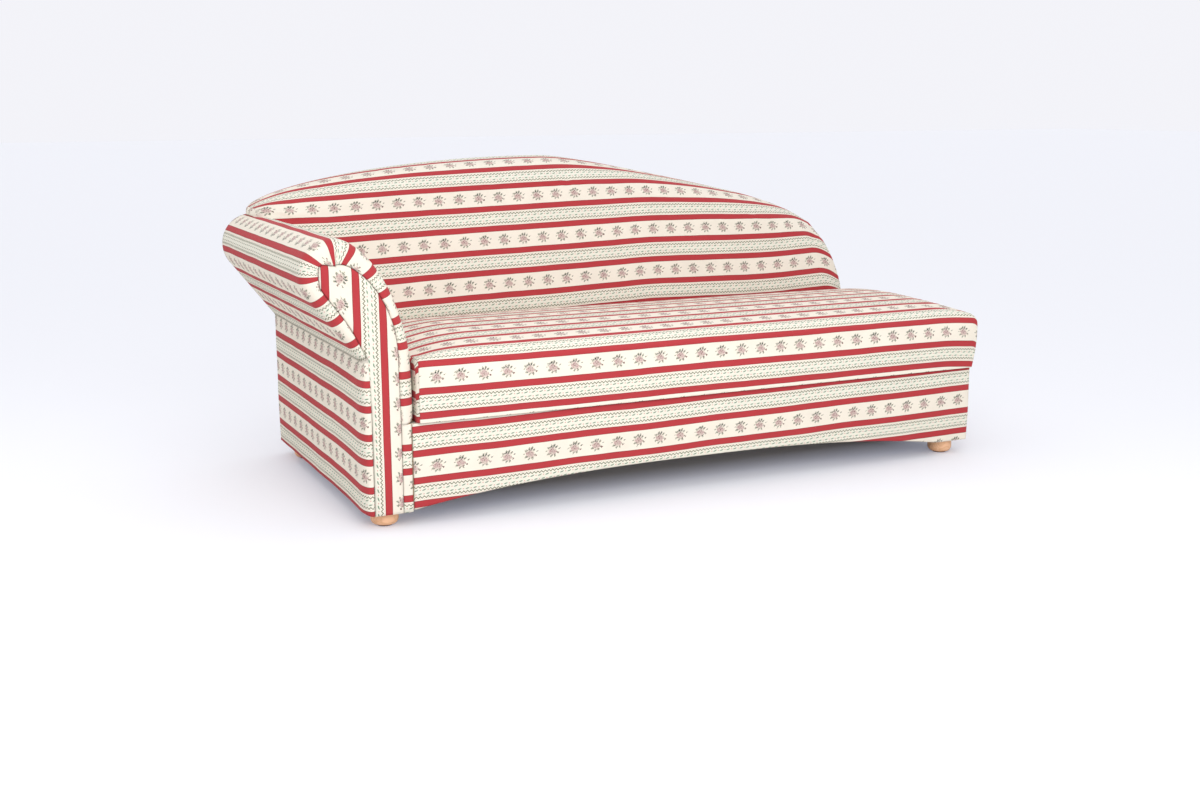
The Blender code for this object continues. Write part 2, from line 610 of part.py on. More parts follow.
def make_back():
    pad = bmesh.new()
    add_loft(pad, [back_section(x) for x in back_stations(BACK_LEFT, BACK_RIGHT, 40)])
    back_pad = mesh_piece("back_pad", pad, STRIPED_FABRIC, smooth=True)

    places = back_stations(RIB_LEFT, RIB_RIGHT, 24)
    rail_top = [crest(x) - BACK_CAP - FIT for x in places]
    space = bmesh.new()
    below = BACK_LOW - RAIL
    loops = []
    for x, top in zip([RIB_LEFT - FIT] + places[1:-1] + [RIB_RIGHT + FIT], rail_top):
        top = top + FIT
        web = [(raked(below) + BACK_PAD, below), (raked(SEAT_TOP) + BACK_PAD, SEAT_TOP)]
        web += [(raked(top) + BACK_PAD, top), (BASE_DEPTH + RAIL, top), (BASE_DEPTH + RAIL, below)]
        loops.append([(x, y, z) for y, z in web])
    add_loft(space, loops)
    cut(back_pad, space)

    under = inset(arm_outline(), -FIT)
    roll_left = min(point[0] for point in under)
    under = [point for point in under[:-1] if point[1] >= ROLL_HEIGHT or point[0] > 0]
    under = [(under[0][0], below)] + under[1:] + [(roll_left, below)]
    arm_space = bmesh.new()
    add_prism(arm_space, "y", under, BACK_FOOT - RAIL, BASE_DEPTH + RAIL)
    cut(back_pad, arm_space)

    top_edge = list(zip(places, rail_top))
    low_edge = [(x, z - TOP_RAIL_HEIGHT) for x, z in top_edge]
    prism("back_top_rail", "y", top_edge + low_edge[::-1], BOX_REAR - TOP_RAIL_DEPTH, BOX_REAR, PINE)

    def under_rail(x):
        for (ax, az), (bx, bz) in zip(low_edge, low_edge[1:]):
            if x <= bx:
                return az + (bz - az) * (x - ax) / (bx - ax) - FIT
        return low_edge[-1][1] - FIT

    rib_face = BACK_PAD + STRAP + 2 * FIT
    heel = INNER_REAR
    rib_rights = []
    rib_tops = []
    for k in range(RIB_COUNT):
        left = RIB_LEFT + (RIB_RIGHT - RIB_LEFT - RIB) * k / (RIB_COUNT - 1)
        top = min(under_rail(left), under_rail(left + RIB))
        rib_rights.append(left + RIB)
        rib_tops.append(top)
        side = [
            (heel - RIB_FOOT, BASE_TOP - RIB_LAP),
            (heel, BASE_TOP - RIB_LAP),
            (heel, BACK_LOW),
            (BOX_REAR, BACK_LOW),
            (BOX_REAR, top),
            (raked(top) + rib_face, top),
            (raked(SEAT_TOP) + rib_face, SEAT_TOP),
            (raked(BACK_LOW) + rib_face, BACK_LOW),
            (heel - RIB_FOOT, BACK_LOW),
        ]
        prism("back_rib_" + str(k + 1), "x", side, left, left + RIB, PINE)

    rows = []
    low = SEAT_TOP + FIT
    while low + STRAP_WIDTH < max(rib_tops):
        reach = max(right for right, top in zip(rib_rights, rib_tops) if top > low + STRAP_WIDTH)
        rows.append((low, low + STRAP_WIDTH, reach))
        low += BACK_STRAP_PITCH
    columns = []
    for before, after in zip(rib_rights, rib_rights[1:]):
        middle = (before + after - RIB) / 2
        height = max(high for low, high, reach in rows if reach >= after)
        columns.append((middle - STRAP_WIDTH / 2, middle + STRAP_WIDTH / 2, height))

    def strapped(x, z):
        in_row = any(low < z < high and x < reach for low, high, reach in rows)
        return in_row or any(left < x < right and z < height for left, right, height in columns)

    lines_x = {RIB_LEFT} | {reach for low, high, reach in rows}
    for left, right, height in columns:
        lines_x |= {left, right}
    lines_z = set()
    for low, high, reach in rows:
        lines_z |= {low, high}
    front = BACK_PAD + FIT
    webbing = bmesh.new()
    add_lattice(
        webbing,
        sorted(lines_x),
        sorted(lines_z),
        strapped,
        lambda x, z: (x, raked(z) + front, z),
        lambda x, z: (x, raked(z) + front + STRAP, z),
    )
    mesh_piece("back_webbing", webbing, WEBBING)

    panel = [(BOX_LEFT, FOOT_HEIGHT), (BASE_LENGTH, FOOT_HEIGHT)]
    panel += [(BASE_LENGTH, BASE_TOP), (BACK_RIGHT, BASE_TOP)]
    for x in back_stations(BOX_LEFT, BACK_RIGHT, 24)[::-1]:
        panel.append((x, crest(x) - BACK_REAR_DROP))
    prism("outside_back_panel", "y", panel, BASE_DEPTH - COVER, BASE_DEPTH, STRIPED_FABRIC)


# Bench seat: a rail frame with webbing under a crowned pad.
def bench_loop(pull, end_pull, z, draw):
    """Rounded rectangle of the bench in plan, pulled in from its edges, its sides drawn in between corners."""
    radius = max(SEAT_CORNER - pull, SEAT_INNER_CORNER)
    low = Vector((SEAT_LEFT + end_pull, SEAT_FRONT + pull))
    high = Vector((SEAT_RIGHT - end_pull, SEAT_REAR - pull))
    turns = [
        (Vector((high.x - radius, low.y + radius)), -90, 8),
        (Vector((high.x - radius, high.y - radius)), 0, 20),
        (Vector((low.x + radius, high.y - radius)), 90, 8),
        (Vector((low.x + radius, low.y + radius)), 180, 20),
    ]
    corner_steps = 4
    loop = []
    for k, (centre, first, parts) in enumerate(turns):
        for step in range(corner_steps + 1):
            angle = math.radians(first + 90 * step / corner_steps)
            loop.append(centre + radius * Vector((math.cos(angle), math.sin(angle))))
        start = loop[-1]
        outward = (start - centre) / radius
        end = turns[(k + 1) % 4][0] + radius * outward
        for step in range(1, parts):
            along = step / parts
            loop.append(start.lerp(end, along) - outward * (draw * 4 * along * (1 - along)))
    return [(x, y, z) for x, y in loop]


def make_seat(base_cross):
    front_y = (FRAME_FRONT, FRAME_FRONT + RAIL)
    rear_y = (FRAME_REAR - RAIL, FRAME_REAR)
    between = (front_y[1] + FIT, rear_y[0] - FIT)
    for name, (near, far) in (("seat_front_rail", front_y), ("seat_rear_rail", rear_y)):
        box(name, (FRAME_LEFT, near, FRAME_BOTTOM), (FRAME_RIGHT, far, FRAME_TOP), PINE)
    for name, x in (("seat_end_rail_left", FRAME_LEFT), ("seat_end_rail_right", FRAME_RIGHT - RAIL)):
        box(name, (x, between[0], FRAME_BOTTOM), (x + RAIL, between[1], FRAME_TOP), PINE)

    dowel_y = between[0] + DOWEL_INSET
    pin = [(DOWEL_RADIUS, BASE_TOP - DOWEL_GRIP), (DOWEL_RADIUS, FRAME_BOTTOM + DOWEL_GRIP)]
    hole = [
        (DOWEL_RADIUS + FIT, BASE_TOP - DOWEL_GRIP - FIT),
        (DOWEL_RADIUS + FIT, FRAME_BOTTOM + DOWEL_GRIP + FIT),
    ]
    for side, x in cross_x.items():
        rail = box(
            "seat_cross_rail_" + side,
            (x - RAIL / 2, between[0], FRAME_BOTTOM),
            (x + RAIL / 2, between[1], FRAME_TOP - SEAT_CROSS_DROP),
            PINE,
        )
        dowel = bmesh.new()
        add_turned(dowel, (x, dowel_y, 0.0), "z", pin)
        mesh_piece("seat_dowel_" + side, dowel, BEECH)
        for bored in (rail, base_cross[side]):
            bore = bmesh.new()
            add_turned(bore, (x, dowel_y, 0.0), "z", hole)
            cut(bored, bore)

    half = STRAP_WIDTH / 2
    across = spread(FRAME_LEFT + RAIL, FRAME_RIGHT - RAIL, SEAT_STRAPS_ACROSS)
    along = spread(FRAME_FRONT + RAIL, FRAME_REAR - RAIL, SEAT_STRAPS_ALONG)
    lines_x = [FRAME_LEFT] + [x + edge for x in across for edge in (-half, half)] + [FRAME_RIGHT]
    lines_y = [FRAME_FRONT] + [y + edge for y in along for edge in (-half, half)] + [FRAME_REAR]

    def strapped(x, y):
        on_across = any(abs(x - middle) < half for middle in across)
        return on_across or any(abs(y - middle) < half for middle in along)

    webbing = bmesh.new()
    add_lattice(
        webbing,
        lines_x,
        lines_y,
        strapped,
        lambda x, y: (x, y, FRAME_TOP + FIT),
        lambda x, y: (x, y, FRAME_TOP + FIT + STRAP),
    )
    mesh_piece("seat_webbing", webbing, WEBBING)
    box(
        "seat_hessian",
        (FRAME_LEFT, FRAME_FRONT, HESSIAN_BOTTOM),
        (FRAME_RIGHT, FRAME_REAR, HESSIAN_TOP),
        JUTE,
    )

    loops = []
    edge_steps = 3
    for k in range(edge_steps + 1):
        angle = math.pi / 2 * k / edge_steps
        pull = SEAT_LOW_EDGE * (1 - math.sin(angle))
        loops.append(bench_loop(pull, pull, SEAT_BOTTOM + SEAT_LOW_EDGE * (1 - math.cos(angle)), SEAT_DRAW))
    for k in range(edge_steps + 1):
        angle = math.pi / 2 * k / edge_steps
        pull = SEAT_EDGE * (1 - math.cos(angle))
        loops.append(bench_loop(pull, pull, SEAT_TOP - SEAT_EDGE * (1 - math.sin(angle)), SEAT_DRAW))
    half_depth = (SEAT_REAR - SEAT_FRONT) / 2
    crown_steps = 5
    for k in range(1, crown_steps):
        pull = SEAT_EDGE + (half_depth - SEAT_EDGE) * k / crown_steps
        end_pull = SEAT_EDGE + SEAT_CROWN_END * k / crown_steps
        rise = SEAT_CROWN * (1 - (1 - k / crown_steps) ** 2)
        loops.append(bench_loop(pull, end_pull, SEAT_TOP + rise, SEAT_DRAW))
    bench = bmesh.new()
    add_loft(bench, loops)
    cushion = mesh_piece("seat_cushion", bench, STRIPED_FABRIC, smooth=True)
    pocket = bmesh.new()
    add_box(
        pocket,
        (FRAME_LEFT - FIT, FRAME_FRONT - FIT, FRAME_BOTTOM - RAIL),
        (FRAME_RIGHT + FIT, FRAME_REAR + FIT, HESSIAN_TOP + FIT),
    )
    cut(cushion, pocket)


base_left_rail, base_cross_rails = make_base()
make_feet()
make_arm(base_left_rail)
make_back()
make_seat(base_cross_rails)
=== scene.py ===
"""One-armed sofa on its CAD frame: striped cover with sprigs, beech feet, pine and webbing inside."""

import json
import math

import bmesh
import bpy
import numpy as np
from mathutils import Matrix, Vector


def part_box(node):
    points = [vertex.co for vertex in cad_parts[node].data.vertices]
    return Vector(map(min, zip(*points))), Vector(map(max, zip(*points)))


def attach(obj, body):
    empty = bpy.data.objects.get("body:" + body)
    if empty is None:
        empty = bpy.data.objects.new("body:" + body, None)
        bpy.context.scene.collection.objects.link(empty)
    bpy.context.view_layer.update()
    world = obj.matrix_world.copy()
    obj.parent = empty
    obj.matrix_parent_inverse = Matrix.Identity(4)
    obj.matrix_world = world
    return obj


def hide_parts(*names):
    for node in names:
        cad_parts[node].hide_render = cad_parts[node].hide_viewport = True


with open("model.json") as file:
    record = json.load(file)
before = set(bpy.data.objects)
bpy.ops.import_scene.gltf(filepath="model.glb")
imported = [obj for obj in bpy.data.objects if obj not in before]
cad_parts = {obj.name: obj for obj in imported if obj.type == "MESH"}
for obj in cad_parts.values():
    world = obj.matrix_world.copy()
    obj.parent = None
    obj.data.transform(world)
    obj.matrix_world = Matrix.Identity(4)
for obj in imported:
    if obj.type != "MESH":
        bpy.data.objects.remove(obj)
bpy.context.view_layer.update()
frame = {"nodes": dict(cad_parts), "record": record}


# Frame: planed pine rails, ribs and boards, glued and screwed together. The wood is bare inside the cover,
# and its grain runs along each piece.
class Wire:
    """One output of a shader node. Sums and products of wires are Math nodes."""

    def __init__(self, tree, socket=None):
        self.tree = tree
        self.socket = socket

    def node(self, kind, inputs=None, output=0, **settings):
        """Adds a node with its settings. Inputs go by name or place, as wires or plain values."""
        made = self.tree.nodes.new(kind)
        for name, value in settings.items():
            setattr(made, name, value)
        for place, value in (inputs or {}).items():
            if isinstance(value, Wire):
                self.tree.links.new(value.socket, made.inputs[place])
            else:
                made.inputs[place].default_value = value
        return Wire(self.tree, made.outputs[output])

    def maths(self, operation, *others, clamp=False):
        values = dict(enumerate((self, *others)))
        return self.node("ShaderNodeMath", values, operation=operation, use_clamp=clamp)

    def __add__(self, other):
        return self.maths("ADD", other)

    def __sub__(self, other):
        return self.maths("SUBTRACT", other)

    def __mul__(self, other):
        return self.maths("MULTIPLY", other)

    def __truediv__(self, other):
        return self.maths("DIVIDE", other)

    def __rsub__(self, other):
        return self.node("ShaderNodeMath", {0: other, 1: self}, operation="SUBTRACT")

    __rmul__ = __mul__

    def __abs__(self):
        return self.maths("ABSOLUTE")

    def __mod__(self, other):
        return self.maths("FLOORED_MODULO", other)

    def pick(self, low, high):
        """Colour low where this wire is 0, colour high where it is 1."""
        return self.node("ShaderNodeMix", {0: self, 6: low, 7: high}, output=2, data_type="RGBA")


def material(name, **values):
    """New material with fixed values on its Principled shader, and the wire that its nodes start from."""
    made = bpy.data.materials.new(name)
    made.use_nodes = True
    shader = made.node_tree.nodes["Principled BSDF"]
    for socket, value in values.items():
        shader.inputs[socket.replace("_", " ")].default_value = value
    return made, shader, Wire(made.node_tree)


def feed(shader, **wires):
    """Links wires to the shader's inputs of those names."""
    for socket, wire in wires.items():
        wire.tree.links.new(wire.socket, shader.inputs[socket.replace("_", " ")])


def on_sofa(start):
    """Place on the sofa, in metres."""
    return start.node("ShaderNodeTexCoord", output="Object")


def stretched(place, scale):
    """Place with each of its three parts scaled."""
    return place.node("ShaderNodeMapping", {"Vector": place, "Scale": scale})


def noise(place, scale, detail):
    """Uneven clouds between 0 and 1, about that many to the metre."""
    return place.node("ShaderNodeTexNoise", {"Vector": place, "Scale": scale, "Detail": detail})


def raised(height, strength, depth):
    """Surface that rises with a wire, by that many metres."""
    return height.node("ShaderNodeBump", {"Strength": strength, "Distance": depth, "Height": height})


def grained(name, axis, pale, dark, ring, gloss):
    """Wood with its fibres along one axis of the sofa and growth rings of about that width."""
    made, shader, start = material(name, Specular_IOR_Level=gloss)
    place = on_sofa(start)
    wide = [0.6 / ring] * 3
    wide[axis] *= 0.05
    fine = [1100.0] * 3
    fine[axis] = 30.0
    growth = noise(stretched(place, wide), 0.25, 1.5)
    growth = abs((growth * 9.0) % 1.0 - 0.5) * 2.0
    fibre = noise(stretched(place, fine), 1.0, 2.0)
    colour = (growth * growth * 0.55 + fibre * 0.5).pick(pale, dark)
    feed(shader, Base_Color=colour, Roughness=fibre * 0.3 + 0.42, Normal=raised(fibre, 0.2, 0.0003))
    return made


PINE_PALE = (0.80, 0.63, 0.41, 1)
PINE_DARK = (0.55, 0.35, 0.17, 1)
pine = []
for k, axis in enumerate("xyz"):
    pine.append(grained("pine_along_" + axis, k, PINE_PALE, PINE_DARK, ring=0.006, gloss=0.3))
slot_of = {part["node"]: part["material_slot"] for part in frame["record"]["subparts"]}


def finished(slot):
    """The CAD nodes of one finish."""
    return [frame["nodes"][node] for node in slot_of if slot_of[node] == slot]


for node in finished("pine"):
    low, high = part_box(node.name)
    lengths = list(high - low)
    node.material_slots[0].material = pine[lengths.index(max(lengths))]


# Boards: thin pressed hardboard closes the base below and lines the frame of the arm. Its face is brown and
# finely speckled.
def finish(slot, made):
    """Gives the CAD nodes of one finish their material."""
    for node in finished(slot):
        node.material_slots[0].material = made


HARDBOARD = (0.25, 0.175, 0.11, 1)
HARDBOARD_DARK = (0.13, 0.085, 0.05, 1)
hardboard, shader, start = material("hardboard", Specular_IOR_Level=0.3)
place = on_sofa(start)
speckle = noise(place, 420.0, 3.0)
cloud = noise(place, 14.0, 2.0)
pressed = (speckle * 0.8 + cloud * 0.4 - 0.1).pick(HARDBOARD, HARDBOARD_DARK)
feed(shader, Base_Color=pressed, Roughness=speckle * 0.3 + 0.45, Normal=raised(speckle, 0.15, 0.0002))
finish("hardboard", hardboard)


# Webbing: dark elastic straps, stapled across the frames of the seat and the back. They are ribbed and carry
# the hessian.
def part_of(vector, k):
    """One of the three parts of a vector."""
    return vector.node("ShaderNodeSeparateXYZ", {0: vector}, output=k)


STRAP = (0.030, 0.030, 0.034, 1)
STRAP_DUSTY = (0.12, 0.115, 0.11, 1)
strap_turn = 3900.0
webbing, shader, start = material("webbing", Roughness=0.9, Specular_IOR_Level=0.2)
place = on_sofa(start)
ribbed = 1.0
for k in range(3):
    ribbed = ribbed * (part_of(place, k) * strap_turn).maths("SINE")
ribbed = ribbed * 0.5 + 0.5
dust = noise(place, 60.0, 3.0)
strap = (ribbed * 0.5 + dust * 0.6 - 0.1).pick(STRAP, STRAP_DUSTY)
feed(shader, Base_Color=strap, Normal=raised(ribbed, 0.5, 0.0004))
finish("webbing", webbing)

# Hessian: a jute cloth of coarse, uneven yarn. It lies on the webbing of the seat and keeps the filling from
# falling through.
JUTE = (0.55, 0.42, 0.26, 1)
JUTE_DARK = (0.20, 0.14, 0.075, 1)
yarn_turn = 2400.0
hessian, shader, start = material("hessian", Roughness=0.95, Specular_IOR_Level=0.1)
place = on_sofa(start)
uneven = noise(place, 160.0, 2.0) * 3.0
over = (part_of(place, 0) * yarn_turn + uneven).maths("SINE")
under = (part_of(place, 1) * yarn_turn + uneven).maths("SINE")
yarn = over * under * 0.5 + 0.5
jute = (yarn * 0.8 + uneven * 0.1).pick(JUTE_DARK, JUTE)
feed(shader, Base_Color=jute, Normal=raised(yarn, 0.6, 0.0008))
finish("hessian", hessian)

# Bolts: two zinc-plated steel bolts hold the arm to the base. Nothing of them is seen from outside, and
# their plating is finely brushed.
ZINC = (0.70, 0.71, 0.71, 1)
ZINC_DARK = (0.48, 0.49, 0.50, 1)
zinc, shader, start = material("zinc_plate", Metallic=1.0)
brushed = noise(stretched(on_sofa(start), (90.0, 2500.0, 2500.0)), 1.0, 2.0)
feed(shader, Base_Color=brushed.pick(ZINC_DARK, ZINC), Roughness=brushed * 0.3 + 0.22)
finish("steel", zinc)

# Feet: four turned beech buns under a thin lacquer. Each stands on a felt glide and is screwed up into its
# block by a stud.
FELT = (0.012, 0.012, 0.013, 1)
FELT_PALE = (0.075, 0.07, 0.068, 1)
felt, shader, start = material("felt", Roughness=1.0, Specular_IOR_Level=0.1)
fluff = noise(on_sofa(start), 1500.0, 3.0)
feed(shader, Base_Color=fluff.pick(FELT, FELT_PALE), Normal=raised(fluff, 0.6, 0.0005))
finish("felt", felt)

BEECH_PALE = (0.90, 0.55, 0.34, 1)
BEECH_DARK = (0.70, 0.38, 0.20, 1)
beech = grained("beech", 0, BEECH_PALE, BEECH_DARK, ring=0.004, gloss=0.5)
finish("beech", beech)
foot_radius = 0.038
foot_belly = 0.020
foot_top_radius = 0.035
foot_bottom_radius = 0.024
stud_radius = 0.005
foot_gap = 0.0003
foot_sides = 72
foot_crease = math.radians(50)
foot_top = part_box("base_front_rail")[0].z - foot_gap
quarter = np.linspace(0, math.pi / 2, 13)
for corner in ("front_left", "front_right", "rear_left", "rear_right"):
    low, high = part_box("foot_" + corner)
    centre = (low + high) / 2
    profile = [(0.0, low.z)]
    below = (foot_bottom_radius, low.z, quarter[::-1])
    above = (foot_top_radius, foot_top, quarter[1:])
    for end_radius, end_z, angles in (below, above):
        for angle in angles:
            turned = end_radius + (foot_radius - end_radius) * math.cos(angle)
            profile.append((turned, foot_belly + (end_z - foot_belly) * math.sin(angle)))
    profile += [(stud_radius, foot_top), (stud_radius, high.z), (0.0, high.z)]
    lathe = bmesh.new()
    ring = [lathe.verts.new((centre.x + far, centre.y, z)) for far, z in profile]
    edges = [lathe.edges.new(pair) for pair in zip(ring, ring[1:])]
    spun = {"cent": centre, "axis": (0, 0, 1), "angle": 2 * math.pi, "steps": foot_sides}
    bmesh.ops.spin(lathe, geom=ring + edges, use_merge=True, **spun)
    bmesh.ops.remove_doubles(lathe, verts=lathe.verts, dist=1e-6)
    bmesh.ops.recalc_face_normals(lathe, faces=lathe.faces)
    mesh = bpy.data.meshes.new("turned_foot_" + corner)
    lathe.to_mesh(mesh)
    lathe.free()
    mesh.materials.append(beech)
    mesh.shade_smooth()
    mesh.set_sharp_from_angle(angle=foot_crease)
    foot = bpy.data.objects.new("turned_foot_" + corner, mesh)
    bpy.context.scene.collection.objects.link(foot)
    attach(foot, "base")
    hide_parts("foot_" + corner)

# Cover: a woven furnishing stripe. Red satin bands part two kinds of ivory band, one with rose sprigs and one
# with a zigzag border and leaves. The map "weave" is the cloth's own measure in metres, along and across. The
# pattern's sizes are in millimetres.
IVORY = (0.84, 0.775, 0.67, 1)
IVORY_COOL = (0.795, 0.775, 0.670, 1)
RED = (0.445, 0.043, 0.050, 1)
RED_EDGE = (0.22, 0.020, 0.028, 1)
OLIVE = (0.14, 0.13, 0.070, 1)
TEAL = (0.13, 0.24, 0.155, 1)
PINK = (0.68, 0.32, 0.30, 1)
ROSE = (0.42, 0.25, 0.235, 1)
ROSE_DEEP = (0.20, 0.085, 0.085, 1)
ROSE_PALE = (0.58, 0.43, 0.40, 1)
ROSE_HAZE = (0.60, 0.51, 0.44, 1)
LEAF = (0.040, 0.052, 0.042, 1)
LEAF_PALE = (0.26, 0.27, 0.20, 1)
LEAF_MID = (0.12, 0.135, 0.105, 1)
BUD = (0.13, 0.035, 0.035, 1)
repeat = 140.0
zigzag_band = 65.6
sprig_step = 67.6
red_half = 9.6
thread = 0.45
slack_drift = 2.4

striped, shader, start = material(
    "striped_cover", Roughness=0.88, Specular_IOR_Level=0.18, Sheen_Weight=0.05, Sheen_Roughness=0.5
)
weave = start.node("ShaderNodeUVMap", uv_map="weave")
along = part_of(weave, 0) * 1000.0
level = part_of(weave, 1) * 1000.0
slack = noise(weave, 9.0, 1.0)
across = (level + (slack - 0.5) * slack_drift) % repeat
woven_along = along.maths("SNAP", thread)
woven_across = across.maths("SNAP", thread)


def spot(point, place, size, turn, soft):
    """1 inside a turned ellipse of the cloth and 0 outside it, with a soft edge."""
    inputs = {0: point, 1: (*place, 0), 2: (0, 0, math.radians(turn)), 3: (*size, 1)}
    inside = point.node("ShaderNodeMapping", inputs, vector_type="TEXTURE")
    far = point.node("ShaderNodeVectorMath", {0: inside}, output=1, operation="LENGTH")
    return far.maths("MULTIPLY_ADD", -1 / soft, 1 / soft, clamp=True)


def line(distance, half, soft=0.35):
    """1 within half a width of a line, 0 beyond it."""
    return distance.maths("MULTIPLY_ADD", -1 / soft, half / soft + 0.5, clamp=True)


# Border band: a zigzag near each edge with a dot in every turn, and two rows of leaves between them.
zigzag = sprig_step / 6
zigzag_at = 14.4
zigzag_swing = 2.7
zigzag_half = 1.4
cool_half = 19.0
dot_at = 19.3
border = woven_across - zigzag_band / 2
wave = abs((woven_along / zigzag) % 1.0 - 0.5) * 4.0 - 1.0
cool = line(abs(border), cool_half, 6.0).pick(IVORY, IVORY_COOL)
ground = line(abs(abs(border) - zigzag_at - wave * zigzag_swing), zigzag_half).pick(cool, OLIVE)
dots = start.node("ShaderNodeCombineXYZ", {0: woven_along % zigzag - zigzag / 2, 1: abs(border)})
ground = spot(dots, (0, dot_at), (1.5, 1.1), 0, 0.5).pick(ground, PINK)
BORDER_LEAVES = (
    ((-0.5, 5.2), (6.4, 1.8), 12, TEAL),
    ((3.8, 7.4), (2.6, 1.2), 30, LEAF_PALE),
    ((11.6, 5.6), (2.8, 1.5), 0, PINK),
    ((10.8, -5.4), (6.4, 1.8), 12, TEAL),
    ((-7.2, -3.4), (2.6, 1.2), 30, LEAF_PALE),
    ((-0.6, -5.8), (2.8, 1.5), 0, PINK),
)
leaves = start.node("ShaderNodeCombineXYZ", {0: woven_along % (2 * zigzag) - zigzag / 2, 1: border})
for place, size, turn, colour in BORDER_LEAVES:
    ground = spot(leaves, place, size, turn, 0.4).pick(ground, colour)

# Sprigs: each is drawn in spots of one colour after another, by place, half sizes and turn in degrees.
SPRIG = (
    (LEAF_PALE, 0.5, ((-18.0, 0.5, 4.4, 1.4, 12), (-13.0, 7.6, 5.4, 3.2, 145), (-2.4, 13.0, 3.6, 4.6, 20))),
    (LEAF_PALE, 0.5, ((5.6, 14.2, 3.2, 4.4, -30), (12.0, 8.6, 5.6, 2.8, 40), (21.6, 4.2, 4.6, 1.7, 20))),
    (LEAF_PALE, 0.5, ((14.4, -5.0, 4.6, 2.0, -34), (-13.4, -8.2, 4.8, 3.2, 34))),
    (LEAF_PALE, 0.5, ((-4.6, -14.4, 2.8, 4.2, -14), (6.4, -13.6, 4.6, 3.0, -50))),
    (ROSE_HAZE, 0.6, ((-0.6, -0.6, 14.6, 13.6, 0),)),
    (ROSE_PALE, 0.5, ((-6.2, -1.6, 6.2, 6.0, 20), (5.4, -3.6, 6.2, 6.0, -16), (-0.4, 4.4, 5.8, 4.8, 0))),
    (ROSE, 0.5, ((-11.0, 0.6, 1.5, 4.8, 8), (-5.6, -7.6, 5.0, 1.4, -16))),
    (ROSE, 0.5, ((5.8, -9.8, 4.8, 1.4, 12), (11.2, -2.6, 1.5, 4.8, 12))),
    (ROSE_DEEP, 0.5, ((-0.4, -2.0, 1.3, 4.6, 8), (-4.6, 2.6, 4.0, 1.4, 30), (5.0, 1.8, 4.2, 1.4, -28))),
    (LEAF, 0.5, ((-8.6, 9.4, 3.0, 1.8, 130), (-3.0, 11.0, 3.4, 2.9, 60), (4.8, 11.8, 3.4, 2.8, 44))),
    (LEAF, 0.5, ((1.6, 7.8, 2.6, 1.8, 0), (10.8, 9.4, 2.8, 1.7, 34), (20.4, 4.0, 2.2, 1.2, 20))),
    (LEAF_MID, 0.5, ((-9.6, -8.6, 2.8, 2.0, 30), (-1.2, -12.4, 2.4, 1.6, 90), (7.4, -11.0, 2.6, 1.8, -40))),
    (ROSE, 0.5, ((-6.4, -2.4, 2.2, 1.4, 60), (5.6, -4.4, 2.2, 1.4, -40))),
    (BUD, 0.5, ((17.0, -7.0, 3.2, 2.9, 0),)),
)
sprig_level = (repeat + zigzag_band) / 2
sprig_squeeze = 0.95
rough = noise(weave, 330.0, 0.0) - 0.5
sprig_along = (woven_along + sprig_step / 2) % sprig_step - sprig_step / 2 + rough * 8.0
sprig_across = (woven_across - sprig_level) * sprig_squeeze + rough * 6.0
sprig = start.node("ShaderNodeCombineXYZ", {0: sprig_along, 1: sprig_across})
for colour, soft, spots in SPRIG:
    for x, y, wide, tall, turn in spots:
        ground = spot(sprig, (x, y), (wide, tall), turn, soft).pick(ground, colour)

# Weave: plain on the ivory and a diagonal rib on the red, a little faded. Shade is painted into it along
# seams, turned edges and the seat's underside.
selvedge_at = 9.0
selvedge_half = 0.7
thread_turn = 5.6
to_red = across.maths("MINIMUM", repeat - across).maths("MINIMUM", abs(across - zigzag_band))
red = line(to_red, red_half, 0.5)
selvedge = line(abs(to_red - selvedge_at), selvedge_half)
yarn = noise(weave, 900.0, 1.0)
fade = noise(weave, 14.0, 2.0)
# Painted shade: each piece marks its seams, turned edges and underside, and the cloth there is painted up to
# a third darker.
painted_shade = start.node("ShaderNodeAttribute", output="Fac", attribute_name="painted_shade")
tone = (yarn * 0.16 + fade * 0.10 + 0.87) * (1.0 - painted_shade * 0.32)
cloth = red.pick(ground, selvedge.pick(RED, RED_EDGE))
cloth = start.node("ShaderNodeVectorMath", {0: cloth, 3: tone}, operation="SCALE")
warp = (along * thread_turn).maths("SINE")
weft = (level * thread_turn).maths("SINE")
rib_turn = thread_turn / 2
rib = (along * rib_turn + level * rib_turn).maths("SINE")
relief = warp * weft * (1.0 - red) + rib * red
feed(shader, Base_Color=cloth, Roughness=0.92 - red * 0.14, Normal=raised(relief, 0.25, 0.0004))

# Making up: each piece of cloth is a grid of points. The sofa is measured from the arm's outer side, the
# front of the base and the floor.
origin = np.array((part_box("arm_outer_panel")[0].x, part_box("base_front_cover")[0].y, 0.0))


def reach(node):
    """Lowest and highest corner of a CAD node, measured on the sofa."""
    low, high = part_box(node)
    return np.array(low) - origin, np.array(high) - origin


def stack(*columns):
    """Points or measures from their separate parts."""
    return np.stack(np.broadcast_arrays(*columns), axis=-1)


def joined(*rows):
    """All rows, one after another."""
    return np.concatenate(rows)


def ripple(a, b, length, seed):
    """Smooth uneven waves of about that length over two measures, between -1 and 1."""
    draw = np.random.default_rng(seed)
    turns = draw.uniform(0, math.pi, 7)
    sizes = draw.uniform(0.6, 1.7, 7)
    phases = draw.uniform(0, 6.3, 7)
    total = np.zeros(np.broadcast(a, b).shape)
    for turn, size, phase in zip(turns, sizes, phases):
        way = a * math.cos(turn) + b * math.sin(turn)
        total = total + np.sin(2 * math.pi / (length * size) * way + phase)
    return total / 4


def seam_line(far, width):
    """1 on a seam and 0 away from it, by the distance to it."""
    return np.exp(-((far / width) ** 2))


